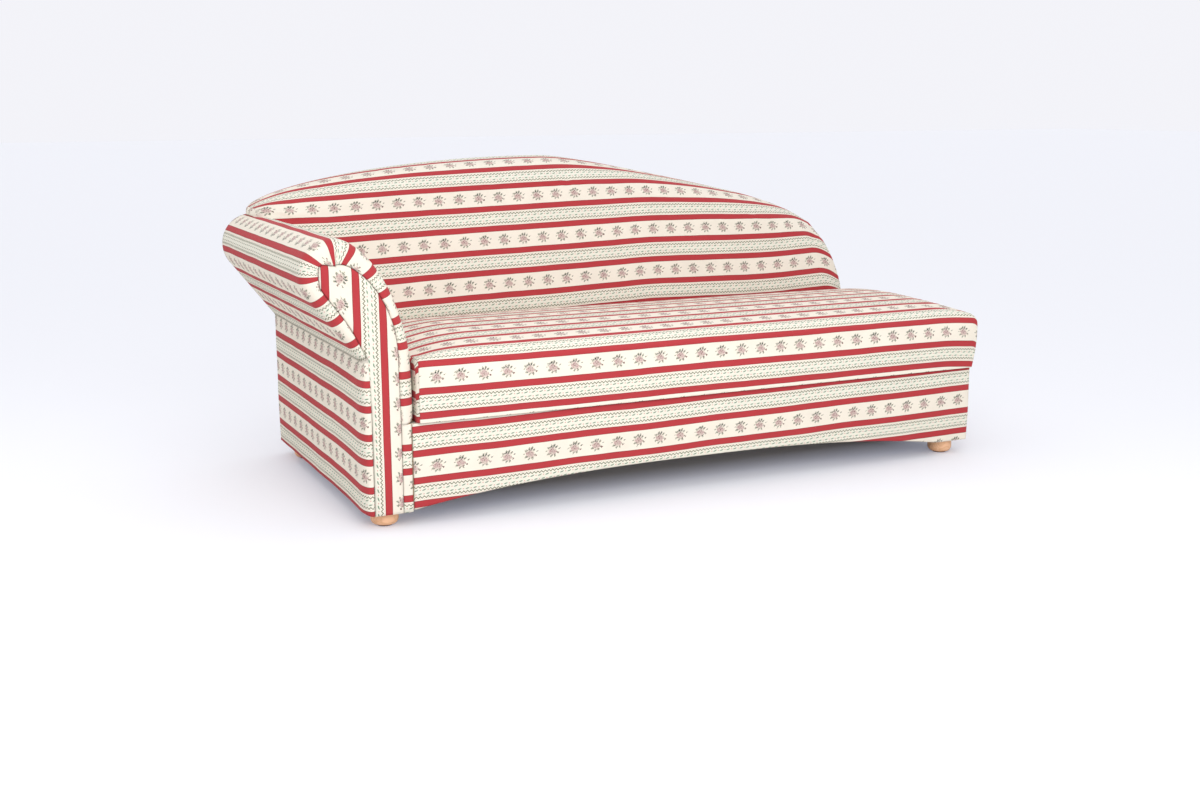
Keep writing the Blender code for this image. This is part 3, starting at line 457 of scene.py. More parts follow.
def cover(name, patches, nodes, body):
    """Sews patches of cloth into one piece. A patch holds a grid of points, and the cloth's measure and the
    strength of the painted shade at each, along seams, turned edges and undersides."""
    points = []
    faces = []
    measure = []
    shade_masks = []
    for grid, cloth_at, shade_mask in patches:
        rows, columns = grid.shape[:2]
        shade_masks.append(np.clip(np.broadcast_to(shade_mask, (rows, columns)), 0, 1).ravel())
        first = len(points)
        points.extend(grid.reshape(-1, 3) + origin)
        for i in range(rows - 1):
            for j in range(columns - 1):
                corners = ((i, j), (i, j + 1), (i + 1, j + 1), (i + 1, j))
                faces.append([first + a * columns + b for a, b in corners])
                measure.append([cloth_at[a, b] for a, b in corners])
    mesh = bpy.data.meshes.new(name)
    mesh.from_pydata(points, [], faces)
    mesh.uv_layers.new(name="weave").data.foreach_set("uv", np.array(measure, dtype=np.float32).ravel())
    # Painted shade of each point, which darkens the cloth's colour.
    shade_masks = joined(*shade_masks).astype(np.float32)
    mesh.attributes.new("painted_shade", "FLOAT", "POINT").data.foreach_set("value", shade_masks)
    sewn = bmesh.new()
    sewn.from_mesh(mesh)
    bmesh.ops.remove_doubles(sewn, verts=sewn.verts, dist=2e-5)
    bmesh.ops.dissolve_degenerate(sewn, edges=sewn.edges, dist=1e-6)
    bmesh.ops.recalc_face_normals(sewn, faces=sewn.faces)
    middle = Vector((0, 0, 0.4))
    outwards = 0.0
    for face in sewn.faces:
        outwards += (face.calc_center_median() - middle).dot(face.normal) * face.calc_area()
    if outwards < 0:
        bmesh.ops.reverse_faces(sewn, faces=sewn.faces)
    sewn.to_mesh(mesh)
    sewn.free()
    mesh.materials.append(striped)
    mesh.shade_smooth()
    piece = bpy.data.objects.new(name, mesh)
    bpy.context.scene.collection.objects.link(piece)
    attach(piece, body)
    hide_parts(*nodes)
    return piece


def backed(piece):
    """Gives an open piece of cloth its thickness."""
    backing = piece.modifiers.new("thickness", "SOLIDIFY")
    backing.thickness = 0.0012
    backing.offset = -1.0


# Base cover: one length of cloth along the front, round the free corner and along the end. Its lower front
# edge is arched and turned under the rail, and its upper edge is turned in below the seat.
base_low, base_high = reach("base_front_cover")
side_low, side_high = reach("arm_outer_panel")
corner = 0.014
arch_rise = 0.053
arch_left = 0.004
arch_right = 0.122
arch_power = 2.6
face_puff = 0.0014
hem_turn = ((0.022, -0.0012), (0.006, -0.0014), (0.0022, -0.0006), (0.0006, 0.0012))
top_turn = ((0.0006, 0.0016), (0.0022, 0.0004), (0.006, 0.0), (0.012, 0.0), (0.030, 0.0))
front_run = base_high[0] - corner - base_low[0]
corner_run = corner * math.pi / 2
end_run = side_high[1] - corner
distance = joined(
    (0.0, 0.002, 0.004),
    np.linspace(0.008, front_run, 141)[:-1],
    front_run + np.linspace(0, corner_run, 7)[:-1],
    front_run + corner_run + np.linspace(0, end_run, 61),
)
on_front = np.minimum(distance, front_run)
turned = np.clip((distance - front_run) / corner_run, 0, 1) * math.pi / 2
on_end = np.maximum(distance - front_run - corner_run, 0)
across_arch = (on_front - arch_left) / (base_high[0] - arch_right - base_low[0] - arch_left)
arch = arch_rise * (1 - np.abs(np.clip(2 * across_arch - 1, -1, 1)) ** arch_power)
hem = base_low[2] + arch
top = base_high[2]
share = np.linspace(0, 1, 23)
hem_in, hem_up = np.array(hem_turn).T[..., None]
top_in, top_down = np.array(top_turn).T[..., None]
face = hem + 0.004 + (top - 0.008 - hem) * share[:, None]
puff = face_puff * np.sin(math.pi * share[:, None]) ** 0.6
crease = 0.0007 * ripple(distance, face * 2.2, 0.30, 3) + 0.0005 * ripple(distance * 0.5, face, 0.09, 4)
inward = joined(hem_in + 0 * hem, -puff - crease, top_in + 0 * hem)
height = joined(hem + hem_up, face, top + 0.0001 - top_down + 0 * hem)
grid = stack(
    base_low[0] + on_front + (corner - inward) * np.sin(turned),
    corner - (corner - inward) * np.cos(turned) + on_end,
    height,
)
base_reds = 0.1957
base_tilt = 0.0102
base_sprig = 0.1955
sway = 0.0012 * ripple(distance, 0, 0.55, 5)
measure = stack(
    distance + base_low[0] - base_sprig,
    height - base_reds - base_tilt * np.minimum(distance + base_low[0], base_high[0]) + sway,
)
# Painted shade on the turned hem, on the top turned in below the seat and at the end beside the arm.
shade_mask = joined((0.6, 0.5, 0.3, 0.1), 0 * share, (0.2, 0.6, 1.0, 1.0, 1.0))[:, None]
shade_mask = shade_mask + seam_line(distance, 0.0025)
backed(cover("base_cover", [(grid, measure, shade_mask)], ("base_front_cover", "base_end_cover"), "base"))

# Arm roll: the pad starts at the foot of the inner face, swells over the top and ends in a seam under the
# roll. At the front its cloth is gathered over the rounded edge into the seam of the facing.
arm_low, arm_high = reach("arm_pad")
roll_radius = 0.092
roll_x = arm_low[0] + roll_radius
roll_z = arm_high[2] - roll_radius
shoulder = 0.460
arm_curve = 1.75
seam_z = side_high[2] + 0.0003
swell = np.linspace(0, math.pi / 2, 49)[:-1]
reach_to_seam = math.hypot(roll_x, roll_z - seam_z)
leave = math.atan2(roll_z - seam_z, roll_x) + math.asin(roll_radius / reach_to_seam) + math.pi / 2
scroll = np.linspace(math.pi / 2, leave, 33)
tangent = np.array((roll_x + roll_radius * math.cos(leave), roll_z + roll_radius * math.sin(leave)))
belly = 0.0115
belly_foot = 0.020
belly_low = 0.300
belly_high = 0.560


def bulge(z):
    """How far the padding of the inner face stands out over the seat."""
    above = 1 - np.clip((z - belly_low) / (belly_high - belly_low), 0, 1) ** 2
    below = np.sqrt(1 - np.clip((belly_low - z) / belly_foot, 0, 1) ** 2)
    return belly * above * below


def evened(values, times):
    """Values smoothed along their row, with both ends kept."""
    values = np.array(values)
    for turn in range(times):
        values[1:-1] = (values[:-2] + 2 * values[1:-1] + values[2:]) / 4
    return values


def run_along(path):
    """Distance along a path at each of its points."""
    return joined((0,), np.cumsum(np.linalg.norm(np.diff(path, axis=0), axis=1)))


def heading_along(path, run):
    """Direction of a path at each of its points."""
    ahead = np.gradient(path, run, axis=0)
    return ahead / np.linalg.norm(ahead, axis=1)[:, None]


foot_z = joined(np.linspace(arm_low[2], belly_low, 9)[:-1], np.linspace(belly_low, shoulder, 13)[:-1])
swell_x = roll_x + (arm_high[0] - roll_x) * np.cos(swell) ** (2 / arm_curve)
swell_z = shoulder + (arm_high[2] - shoulder) * np.sin(swell) ** (2 / arm_curve)
outline = joined(
    stack(arm_high[0], foot_z),
    stack(swell_x, swell_z),
    stack(roll_x + roll_radius * np.cos(scroll), roll_z + roll_radius * np.sin(scroll)),
    tangent + (np.array((0.0, seam_z)) - tangent) * np.linspace(0, 1, 15)[1:, None],
)
girth = run_along(outline)
slope = heading_along(outline, girth)
outward = stack(slope[:, 1], -slope[:, 0])


def girth_at(angle):
    """Girth where the roll's cloth reaches an angle of its scroll."""
    return girth[len(foot_z) + len(swell)] + roll_radius * (math.radians(angle) - math.pi / 2)


# Seam of the facing: how far it lies inside the outline, by girth, and on the roll by angle.
seam_places = [(0.0, 0.0285), (0.18, 0.031), (0.28, 0.029), (0.37, 0.034), (0.43, 0.042), (0.50, 0.053)]
for angle, far_in in ((90, 0.070), (122, 0.064), (147, 0.042), (180, 0.046), (205, 0.043), (217, 0.037)):
    seam_places.append((girth_at(angle), far_in))
seam_places += [(girth[-1] - 0.10, 0.035), (girth[-1], 0.016)]
inset = evened(np.interp(girth, *zip(*seam_places)), 3)
crown_at = int(np.argmax(outline[:, 1]))
stand_out = bulge(outline[:, 1]) * (np.arange(len(outline)) < crown_at)
inner_side = (outline + stack(stand_out, 0))[: crown_at + 1]
edge_depth = 0.034
edge_width = np.minimum(0.026, 0.85 * inset)
edge_rise = 0.0016
groove = 0.0032
groove_width = 0.0022
flat_cloth = 0.030
edge_cloth = 0.047
flat_rows = np.array((0.0, 0.10, 0.20, 0.36, 0.52, 0.68, 0.84))
edge_turn = np.linspace(0, math.pi / 2, 12)
rear = arm_high[1]
runs = np.linspace(edge_depth, rear, 49)[1:]
behind = np.zeros(len(runs))
margin = inset - edge_width
flat = flat_rows[:, None]
round_edge = edge_turn[:, None]
pull = joined(
    edge_width + margin * (1 - flat),
    edge_width * (1 - np.sin(round_edge)),
    behind[:, None] + 0 * inset,
)
depth = joined(
    groove * np.exp(-flat * margin / groove_width) - edge_rise * np.sin(flat * math.pi / 2),
    edge_depth * (1 - np.cos(round_edge)) - edge_rise * np.cos(round_edge) + 0 * inset,
    runs[:, None] + 0 * inset,
)
from_edge = joined(
    flat_rows * flat_cloth,
    flat_cloth + edge_turn / (math.pi / 2) * edge_cloth,
    flat_cloth + edge_cloth + runs - edge_depth,
)
near_seam = joined(1 - flat_rows * 0.6, 0.4 * np.cos(edge_turn) ** 2, behind)
let_out = joined(flat_rows * 4, np.ones(len(edge_turn) + len(runs)))
near_seam = (near_seam * np.clip(let_out, 0, 1))[:, None]
bend = seam_line(girth - girth_at(118), 0.13) + 0.6 * seam_line(girth - girth_at(30), 0.12)
gather = 0.019
pleat = 0.0016 * near_seam * bend * np.sin(2 * math.pi * girth / gather + 2.0 * np.sin(girth * 31))
soft = 0.0010 * ripple(depth, girth * 1.6, 0.22, 11) * np.clip(depth / 0.08, 0, 1)
grow = soft - pull
grid = stack(
    outline[:, 0] + outward[:, 0] * grow + stand_out * (1 - pull / inset),
    depth - pleat,
    outline[:, 1] + outward[:, 1] * grow,
)
first_red = girth_at(146)
fan_start = -0.09
fan_share = 0.916
from_red = girth - first_red
fan = np.where(from_red < fan_start, fan_start + (from_red - fan_start) * fan_share, from_red)
measure = stack(from_edge[:, None], fan)
# Painted shade at both seams of the roll, at its foot and under the scroll, and along the seam of the facing.
shade_mask = seam_line(girth, 0.004) + seam_line(girth[-1] - girth, 0.004)
shade_mask = shade_mask + seam_line(from_edge, 0.0025)[:, None]
backed(cover("arm_roll", [(grid, measure, shade_mask)], ("arm_pad",), "base"))

# Facing: a flat panel with upright stripes over the front board of the arm. It is sewn to the gathered edge
# of the roll and to the side panel, and a shallow groove marks the seam.
seam = outline - outward * inset[:, None]
facing_left = 0.020
facing_right = seam[0, 0]
facing_bottom = side_low[2] - 0.005
turned_under = 0.0012
facing_groove = 0.0030
facing_rise = 0.0062
facing_rows = joined(np.linspace(0, 0.985, 80), (0.990, 0.994, 0.997, 1.0))
facing_columns = joined((0.0, 0.012, 0.026, 0.045), np.linspace(0.08, 0.92, 19), (0.955, 0.974, 0.988, 1.0))


def along_path(path, shares):
    """Points at given shares of a path's length."""
    path = np.array(path)
    far = run_along(path)
    return stack(*(np.interp(shares * far[-1], far, path[:, k]) for k in range(path.shape[1])))


top_left = int(np.argmin(np.abs(girth - girth_at(141))))
top_right = int(np.argmin(np.abs(girth - girth_at(66))))
flare_height = 0.18
ease = np.linspace(0, 1, 12)
flare = 3 * ease**2 - 2 * ease**3
low_left = stack(
    facing_left + (seam[-1, 0] - facing_left) * flare, seam[-1, 1] - flare_height + flare_height * ease
)
left_path = [(facing_left, facing_bottom), *low_left, *seam[top_left:][::-1]]
left_edge = along_path(left_path, facing_rows)[:, None]
right_edge = along_path([(facing_right, facing_bottom), *seam[: top_right + 1]], facing_rows)[:, None]
upper_edge = along_path(seam[top_right : top_left + 1][::-1], facing_columns)[None]
lower_edge = along_path([left_edge[0, 0], right_edge[0, 0]], facing_columns)[None]
up = facing_rows[:, None, None]
over = facing_columns[None, :, None]
flat = (1 - over) * left_edge + over * right_edge + (1 - up) * lower_edge + up * upper_edge
flat = flat - (1 - up) * ((1 - over) * lower_edge[:, :1] + over * lower_edge[:, -1:])
flat = flat - up * ((1 - over) * upper_edge[:, :1] + over * upper_edge[:, -1:])
rim_points = joined(left_edge[:, 0], right_edge[:, 0], upper_edge[0])
rim = np.min(np.linalg.norm(flat[:, :, None] - rim_points, axis=-1), axis=-1)
x = flat[..., 0]
z = flat[..., 1]
y = facing_groove - facing_rise * np.clip(rim / 0.013, 0, 1) ** 0.5 - 0.0006 * ripple(x, z * 0.5, 0.11, 21)
inwards = np.linspace(0.012, 0.002, 4)[:, None]
under = stack(x[0], inwards, facing_bottom - turned_under)
grid = joined(under, stack(x, y, z))
facing_red = -0.012
facing_stretch = 1.06
facing_sprig = 0.610
measure = stack(facing_sprig - grid[..., 2], (grid[..., 0] - facing_red) / facing_stretch)
# Painted shade on the hem turned under and along the seam round the panel.
shade_mask = joined(0.4 + 0 * x[: len(inwards)], seam_line(rim, 0.0024))
backed(cover("arm_front", [(grid, measure, shade_mask)], ("arm_facing",), "base"))

# Front strip: a narrow piece of cloth beside the facing, below the seat, with its stripes lying level. It is
# sewn to the facing and tucked in beside the base.
strip_reds = 0.151
over = np.array((0.0, 0.05, 0.12, 0.35, 0.6, 0.8, 0.93, 1.0, 1.0))
set_back = np.array((0.0030, 0.0016, 0.0006, -0.0004, -0.0004, 0.0002, 0.0014, 0.005, 0.014))
levels = joined((facing_bottom - turned_under,) * 2, np.linspace(facing_bottom, base_high[2], 16))
tucked = np.zeros(len(levels))
tucked[:2] = (0.012, 0.003)
grid = stack(
    facing_right + (arm_high[0] - facing_right) * over,
    set_back + tucked[:, None] + 0.0004 * np.sin(levels * 90)[:, None],
    levels[:, None],
)
measure = stack(grid[..., 0], grid[..., 2] - strip_reds)
# Painted shade at both edges, along the facing's seam and where the strip tucks in beside the base.
shade_mask = np.array((1.0, 0.5, 0.0, 0.0, 0.0, 0.0, 0.1, 0.7, 1.0))
backed(cover("arm_strip", [(grid, measure, shade_mask)], ("arm_front_strip",), "base"))


# Side panel: plain cloth from the floor edge to the seam under the roll. It is turned round the front corner
# in a soft, deep curve, which grows tighter just under the roll.
def corner_plan(centre, size, power, side_x):
    """Plan of the side from its front seam, round the corner and back to the rear."""
    turn = np.linspace(0, math.pi / 2, 21)
    front = stack(np.linspace(facing_left, centre[0], 5)[:-1], centre[1] - size[1])
    corner = stack(
        centre[0] - size[0] * np.sin(turn) ** (2 / power), centre[1] - size[1] * np.cos(turn) ** (2 / power)
    )
    back_along = np.linspace(centre[1], rear, 61)[1:]
    straight = stack(side_x * np.clip(1 - (back_along - centre[1]) / 0.30, 0, 1) ** 2, back_along)
    return joined(front, corner, straight)


soft_plan = corner_plan((0.0135, 0.0485), (0.0185, 0.0515), 2.3, -0.005)
tight_plan = corner_plan((0.012, 0.012), (0.012, 0.012), 2.0, 0.0)
run = run_along(soft_plan)
heading = heading_along(soft_plan, run)
side_hem = side_low[2] - 0.0005
hem = side_hem + (facing_bottom - side_hem) * np.clip(1 - run / 0.05, 0, 1) ** 2
levels = [hem - turned_under, hem - turned_under]
levels += [hem + 0.0005 + (seam_z - 0.0085 - hem) * share for share in np.linspace(0, 1, 31)]
levels += [seam_z + above + 0 * hem for above in (-0.0045, -0.0025, -0.001, 0.010)]
levels = np.array(levels)
tucked = np.zeros(len(levels))
tucked[:3] = (0.012, 0.003, 0.0006)
tucked[-4:] = (0.0, 0.0004, 0.0012, 0.0012)
# Painted shade on the hem turned under and at the seam under the roll.
shade_mask = np.zeros(len(levels))
shade_mask[:2] = (0.5, 0.3)
shade_mask[-3:] = (0.3, 0.8, 1.0)
soft = np.clip((seam_z - levels) / 0.06, 0, 1)
soft = (3 * soft**2 - 2 * soft**3)[..., None]
lift = np.clip((levels - hem) / (seam_z - hem), 0, 1)
puff = 0.0016 * np.sin(math.pi * lift) ** 0.7 + 0.0008 * ripple(run, levels * 1.5, 0.26, 31)
grow = puff * np.clip(run / 0.02, 0, 1) - tucked[:, None]
plan = soft * soft_plan + (1 - soft) * tight_plan
seam_dip = 0.0055 * np.clip(1 - run / 0.006, 0, 1) ** 1.5
grid = stack(plan[..., 0] - heading[:, 1] * grow, plan[..., 1] + heading[:, 0] * grow + seam_dip, levels)
side_reds = 0.3305
side_stretch = 1.02
side_sprig = 0.03
measure = stack(
    side_sprig - run,
    (levels - side_reds + 0.0012 * ripple(run, 0, 0.4, 32)) / side_stretch,
)
# Painted shade along the seam at the front as well.
shade_mask = shade_mask[:, None] + seam_line(run, 0.0025)
backed(cover("arm_side", [(grid, measure, shade_mask)], ("arm_outer_panel",), "base"))

# Rear of the arm: a flat panel of the scroll's outline, tacked over the rear board. Its edges are drawn in to
# the seams of the roll and the side.
rear_low, rear_high = reach("arm_rear_cover")
rear_rise = np.sin(np.linspace(0, math.pi / 2, 25))
levels = joined(np.linspace(rear_low[2], seam_z, 12)[:-1], seam_z + (arm_high[2] - seam_z) * rear_rise)
outer_side = outline[crown_at:][::-1]
right_edge = np.minimum(np.interp(levels, inner_side[:, 1], inner_side[:, 0]), arm_high[0])
left_edge = np.where(levels < seam_z, 0.0, np.interp(levels, outer_side[:, 1], outer_side[:, 0]))
share = joined((0.0,), np.linspace(0.02, 0.98, 15), (1.0,))
x = left_edge[:, None] + (right_edge - left_edge)[:, None] * share
rim = np.minimum(share, 1 - share) * (right_edge - left_edge)[:, None]
y = rear_high[1] - 0.0035 * np.exp(-rim / 0.003)
grid = stack(x, y, levels[:, None])
measure = stack(0.05 - x, levels[:, None] - side_reds)
# Painted shade round the panel's edges, at its seams.
backed(cover("arm_rear", [(grid, measure, seam_line(rim, 0.003))], ("arm_rear_cover",), "base"))

# Back: a raked pad with an arched crest. It lies over the rear of the roll at the left and falls in a rounded
# slope to the seat at the free end. The same cloth goes up the front, over the crest and down behind it.
back_low, back_high = reach("back_pad")
panel_low, panel_high = reach("outside_back_panel")
back_shoulder = 0.800
back_peak_z = back_high[2] - 0.003
back_peak_x = 0.880
back_swell = 0.660
end_height = 0.441
peak_ease = 0.06
crest_falls = ((0.434, 1.10), (0.165, 8), (0.401, 27))
crest_back = 0.0847
seat_top = 0.453


def crest(x):
    """Height of the back's crest along the sofa."""
    rise = np.clip((x - back_low[0]) / (back_peak_x - back_low[0]), 0, 1)
    climb = back_shoulder + (back_peak_z - back_shoulder) * (1 - (1 - rise) ** 2) ** back_swell
    run = np.clip((x - back_peak_x) / (back_high[0] - back_peak_x), 0, 1)
    eased = (np.hypot(run, peak_ease) - peak_ease) / (math.hypot(1, peak_ease) - peak_ease)
    fall = sum(share * eased**power for share, power in crest_falls)
    return np.where(x < back_peak_x, climb, back_peak_z - (back_peak_z - end_height) * fall)


def arm_top(x):
    """Height of the roll under the back."""
    over = inner_side[len(foot_z) :][::-1]
    held = np.interp(x, over[:, 0], over[:, 1])
    drop = roll_z + np.sqrt(np.clip(roll_radius**2 - (x - roll_x) ** 2, 0, None))
    return np.where(x < roll_x, drop, held)


def rounding(far, width, depth):
    """How far a round end lies back, by the distance to its edge."""
    share = np.clip(far / width, 0, 1)
    return depth * (1 - np.sqrt(1 - (1 - share) ** 2))


ease = np.linspace(0, 1, 131)
ease = 0.45 * ease + 0.55 * (0.5 - 0.5 * np.cos(math.pi * ease))
stations = back_low[0] + (back_high[0] - back_low[0]) * ease
near_arm = arm_high[0] + 0.0030
turned_end = back_high[0] - 0.13 * np.linspace(0, 1, 36) ** 1.5
stations = stations[stations < turned_end[-1] - 0.004]
stations = np.unique(joined(stations, turned_end, (near_arm - 0.006, near_arm)))
high = crest(stations)
low = np.where(stations < near_arm - 0.001, arm_top(stations) - 0.003, back_low[2])
low = np.minimum(low, high - 0.018)
setback = rounding(stations - back_low[0], 0.055, 0.050) + rounding(back_high[0] - stations, 0.100, 0.053)
rake = 0.1424 / (back_high[2] - seat_top)
spring = np.maximum(high - 0.085, low + (high - low) * 0.30)
crest_y = back_high[1] - crest_back


def raked(z):
    """Front of the back: leaning, with a slight swell above the seat."""
    up = np.maximum(z - seat_top, 0)
    return back_low[1] + rake * up - 0.009 * np.sin(np.clip(up / 0.40, 0, 1) * math.pi)


front_rows = np.linspace(0, 1, 27)[:, None]
turn_rows = np.linspace(0, math.pi / 2, 17)[1:, None]
rear_rows = np.linspace(0, math.pi / 2, 15)[1:, None]
rear_drop = 0.050
rear_square = 0.40
rear_face = panel_high[1] - 0.0005
rear_seam = panel_high[1] - 0.0036
over_gap = 0.002
over_arm = np.where(stations < near_arm, arm_top(stations) - over_gap, 0.0)
front_z = low + (spring - low) * front_rows
face = raked(spring) + setback
behind = crest_y + (rear_face - crest_y) * np.sin(rear_rows) ** rear_square
fallen = rear_drop * (1 - np.abs(np.cos(rear_rows)) ** rear_square)
rear_z = np.maximum(high - fallen, over_arm)
y = joined(
    raked(front_z) + setback,
    crest_y - (crest_y - face) * np.cos(turn_rows),
    behind + 0 * high,
    rear_seam + 0 * rear_z[-1:],
)
z = joined(front_z, spring + (high - spring) * np.sin(turn_rows), rear_z, rear_z[-1:])
grid = stack(stations, y, z)
climb = np.hypot(np.diff(y - setback, axis=0), np.diff(z, axis=0))
length = joined(np.zeros((1, len(stations))), np.cumsum(climb, axis=0))

# Stripes of the back: level, but a little low beside the arm, a little high past the middle and bent down
# where the cloth is drawn round the free end.
back_red = 0.589
back_sprig = 0.150
profile_z = np.linspace(0.28, 0.95, 400)
profile_length = run_along(stack(profile_z, raked(profile_z)))
start_length = np.interp(low, profile_z, profile_length) - np.interp(back_red, profile_z, profile_length)
end_slant = 0.34
end_line = back_high[0] - end_slant * (z - end_height)
end_bend = 0.036 * np.clip(1 - (end_line - stations) / 0.095, 0, 1.3) ** 2
sag_places = ((0.15, 0.023), (0.45, 0.0125), (0.75, 0.005), (1.20, -0.008))
sag_places += ((1.60, -0.0015), (1.72, -0.002), (1.87, -0.009))
sag = evened(np.interp(stations, *zip(*sag_places)), 6)
measure = stack(
    stations - back_sprig,
    length + start_length + end_bend + sag + 0.0010 * ripple(stations, z, 0.5, 41),
)
cap_swell = 0.010
cap_rows = joined((0.0, 0.02, 0.05, 0.09), np.linspace(0.16, 1, 6))
caps = []
for end, outside in ((0, -1), (-1, 1)):
    ring = grid[:, end]
    heel = np.array((ring[0, 0], ring[-1, 1], ring[0, 2]))
    down = ring[-1] + (heel - ring[-1]) * np.linspace(0, 1, 9)[1:, None]
    forward = heel + (ring[0] - heel) * np.linspace(0, 1, 9)[1:, None]
    ring = joined(ring, down, forward)
    middle = ring.mean(axis=0)
    inner = ring + (middle - ring) * cap_rows[:, None, None]
    inner[..., 0] += outside * cap_swell * np.sin(cap_rows * math.pi / 2)[:, None]
    cloth_at = stack(inner[..., 1] * outside, inner[..., 2] + measure[0, end, 1] - low[end])
    # Painted shade along the seam round each end piece.
    caps.append((inner, cloth_at, seam_line(cap_rows, 0.025)[:, None]))
# Painted shade along the foot over the seat and roll, at the rear seam and at the seam round the free end.
shade_mask = np.zeros(y.shape) + seam_line(back_high[0] - stations, 0.0015)
shade_mask[0] = 1.0
shade_mask[-1] = 1.0
back = cover("back_cover", [(grid, measure, shade_mask), *caps], ("back_pad",), "base")


def points_of(mesh):
    """Places of a mesh's points."""
    places = np.empty(len(mesh.vertices) * 3, dtype=np.float32)
    mesh.vertices.foreach_get("co", places)
    return places.reshape(-1, 3)


def plump(piece, held, most):
    """Lets the cover settle over its filling. Held points stay, and no point moves further than most."""
    before = points_of(piece.data)
    fixed = held(before.astype(float) - origin)
    group = piece.vertex_groups.new(name="held")
    group.add([int(k) for k in np.flatnonzero(fixed)], 1.0, "REPLACE")
    cloth = piece.modifiers.new("settle", "CLOTH")
    settings = cloth.settings
    settings.quality = 5
    settings.mass = 0.3
    settings.tension_stiffness = 15
    settings.compression_stiffness = 15
    settings.shear_stiffness = 5
    settings.bending_stiffness = 0.5
    settings.use_pressure = True
    settings.uniform_pressure_force = 4.0
    settings.vertex_group_mass = group.name
    settings.effector_weights.gravity = 0
    cloth.collision_settings.use_collision = False
    for day in range(1, 21):
        bpy.context.scene.frame_set(day)
    drawn = piece.evaluated_get(bpy.context.evaluated_depsgraph_get())
    moved = points_of(drawn.data) - before
    piece.modifiers.remove(cloth)
    piece.vertex_groups.remove(group)
    bpy.context.scene.frame_set(1)
    far = np.linalg.norm(moved, axis=1)[:, None]
    settled = before + moved * most * np.tanh(far / most) / np.maximum(far, 1e-9)
    piece.data.vertices.foreach_set("co", settled.astype(np.float32).ravel())
    piece.data.update()


def back_held(points):
    """The back's cloth is held behind the seat, along the roll and behind the crest."""
    over_roll = np.interp(points[:, 0], stations, low) + 0.03
    along_roll = points[:, 2] < np.maximum(over_roll, 0)
    behind_crest = points[:, 1] > crest_y + 0.03
    return along_roll | behind_crest | (points[:, 2] < seat_top)


plump(back, back_held, most=0.008)
backed(back)

# Outside back: cloth stretched flat over the ribs, from the floor edge to the turn behind the crest. Beside
# the arm it is cut out along the scroll.
columns = joined(
    np.linspace(-0.050, panel_low[0] - 0.0006, 30),
    (panel_low[0],),
    np.linspace(panel_low[0] + 0.004, turned_end[-1], 110)[:-1],
    np.linspace(turned_end[-1], panel_high[0] - 0.006, 30),
    (panel_high[0] - 0.003,),
)
foot = np.where(columns < panel_low[0], arm_top(columns) - over_gap, panel_low[2])
top = np.maximum(crest(np.minimum(columns, back_high[0] - 0.001)) - rear_drop, foot + 0.0005)
share = joined((0.0, 0.006), np.linspace(0.02, 0.98, 40), (0.994, 1.0))[:, None]
z = foot + (top - foot) * share
from_arm = columns - np.interp(z, inner_side[:, 1], np.minimum(inner_side[:, 0], arm_high[0]))
rim = np.minimum(np.minimum(z - foot, top - z), np.minimum(from_arm, columns[-1] - columns))
rim = np.maximum(rim, 0)
y = panel_high[1] - 0.0036 * np.exp(-rim / 0.004) + 0.0006 * ripple(columns, z * 0.7, 0.5, 51)
y = np.minimum(y, panel_high[1] + 0.0006)
grid = stack(columns, y, z)
measure = stack(-columns, z - back_red)
# Painted shade round the panel's edges.
shade_mask = seam_line(rim, 0.003)
backed(cover("back_outside", [(grid, measure, shade_mask)], ("outside_back_panel",), "base"))

# Bench seat: one long crowned pad that stands a little past the base. Its cloth runs up the front and over
# the top, and a narrow end piece is let in at each end.
seat_low, seat_high = reach("seat_cushion")
seat_crown = 0.026
top_round = 0.020
low_round = 0.004
end_corner = 0.014
dome_left = 0.220
dome_right = 0.060
half_depth = (seat_high[1] - seat_low[1]) / 2
seat_length = seat_high[0] - seat_low[0]
seam_at = 0.006
near_end = np.array((0.0, 0.0006, 0.002, 0.004, 0.0052, seam_at, 0.0068, 0.0085, 0.012, 0.018, 0.025, 0.034))
middle_run = np.linspace(0.045, seat_length - 0.045, 120)
stations = seat_low[0] + joined(near_end, middle_run, (seat_length - near_end)[::-1])
from_left = stations - seat_low[0]
from_right = seat_high[0] - stations
near_corner = np.clip(end_corner - np.minimum(from_left, from_right), 0, None)
pulled = end_corner - np.sqrt(end_corner**2 - near_corner**2)
dome = 1 - (1 - np.clip(np.minimum(from_left / dome_left, from_right / dome_right), 0, 1)) ** 2
quarter = np.linspace(0, math.pi / 2, 7)
seat_middle = (seat_low[1] + seat_high[1]) / 2
bottom = reach("seat_front_rail")[0][2] - 0.0004
front_foot = seat_low[1] + low_round
front_edge = seat_low[1] + top_round
rear_foot = seat_high[1] - low_round
rear_edge = seat_high[1] - top_round

# Loop round the seat: each point has the centre of its rounding, share of the height, direction and radius.
sine = np.sin(quarter)
cosine = np.cos(quarter)
loop = joined(
    stack(np.linspace(seat_middle, front_foot, 12)[:-1], 0, 0, -1, low_round),
    stack(front_foot, 0, -sine, -cosine, low_round),
    stack(front_foot, np.linspace(0, 1, 13)[1:-1], -1, 0, low_round),
    stack(front_edge, 1, -cosine, sine, top_round),
    stack(np.linspace(front_edge, rear_edge, 46)[1:-1], 1, 0, 1, top_round),
    stack(rear_edge, 1, sine, cosine, top_round),
    stack(rear_foot, np.linspace(1, 0, 9)[1:-1], 1, 0, low_round),
    stack(rear_foot, 0, cosine, -sine, low_round),
    stack(np.linspace(rear_foot, seat_middle, 12)[1:], 0, 0, -1, low_round),
)
centre_y, part, out_y, out_z, radius = (loop[:, k][:, None] for k in range(5))
thickness = seat_top - bottom
y = centre_y + out_y * radius
y = y + np.sign(seat_middle - y) * pulled * np.clip(np.abs(y - seat_middle) / half_depth, 0, 1) ** 6
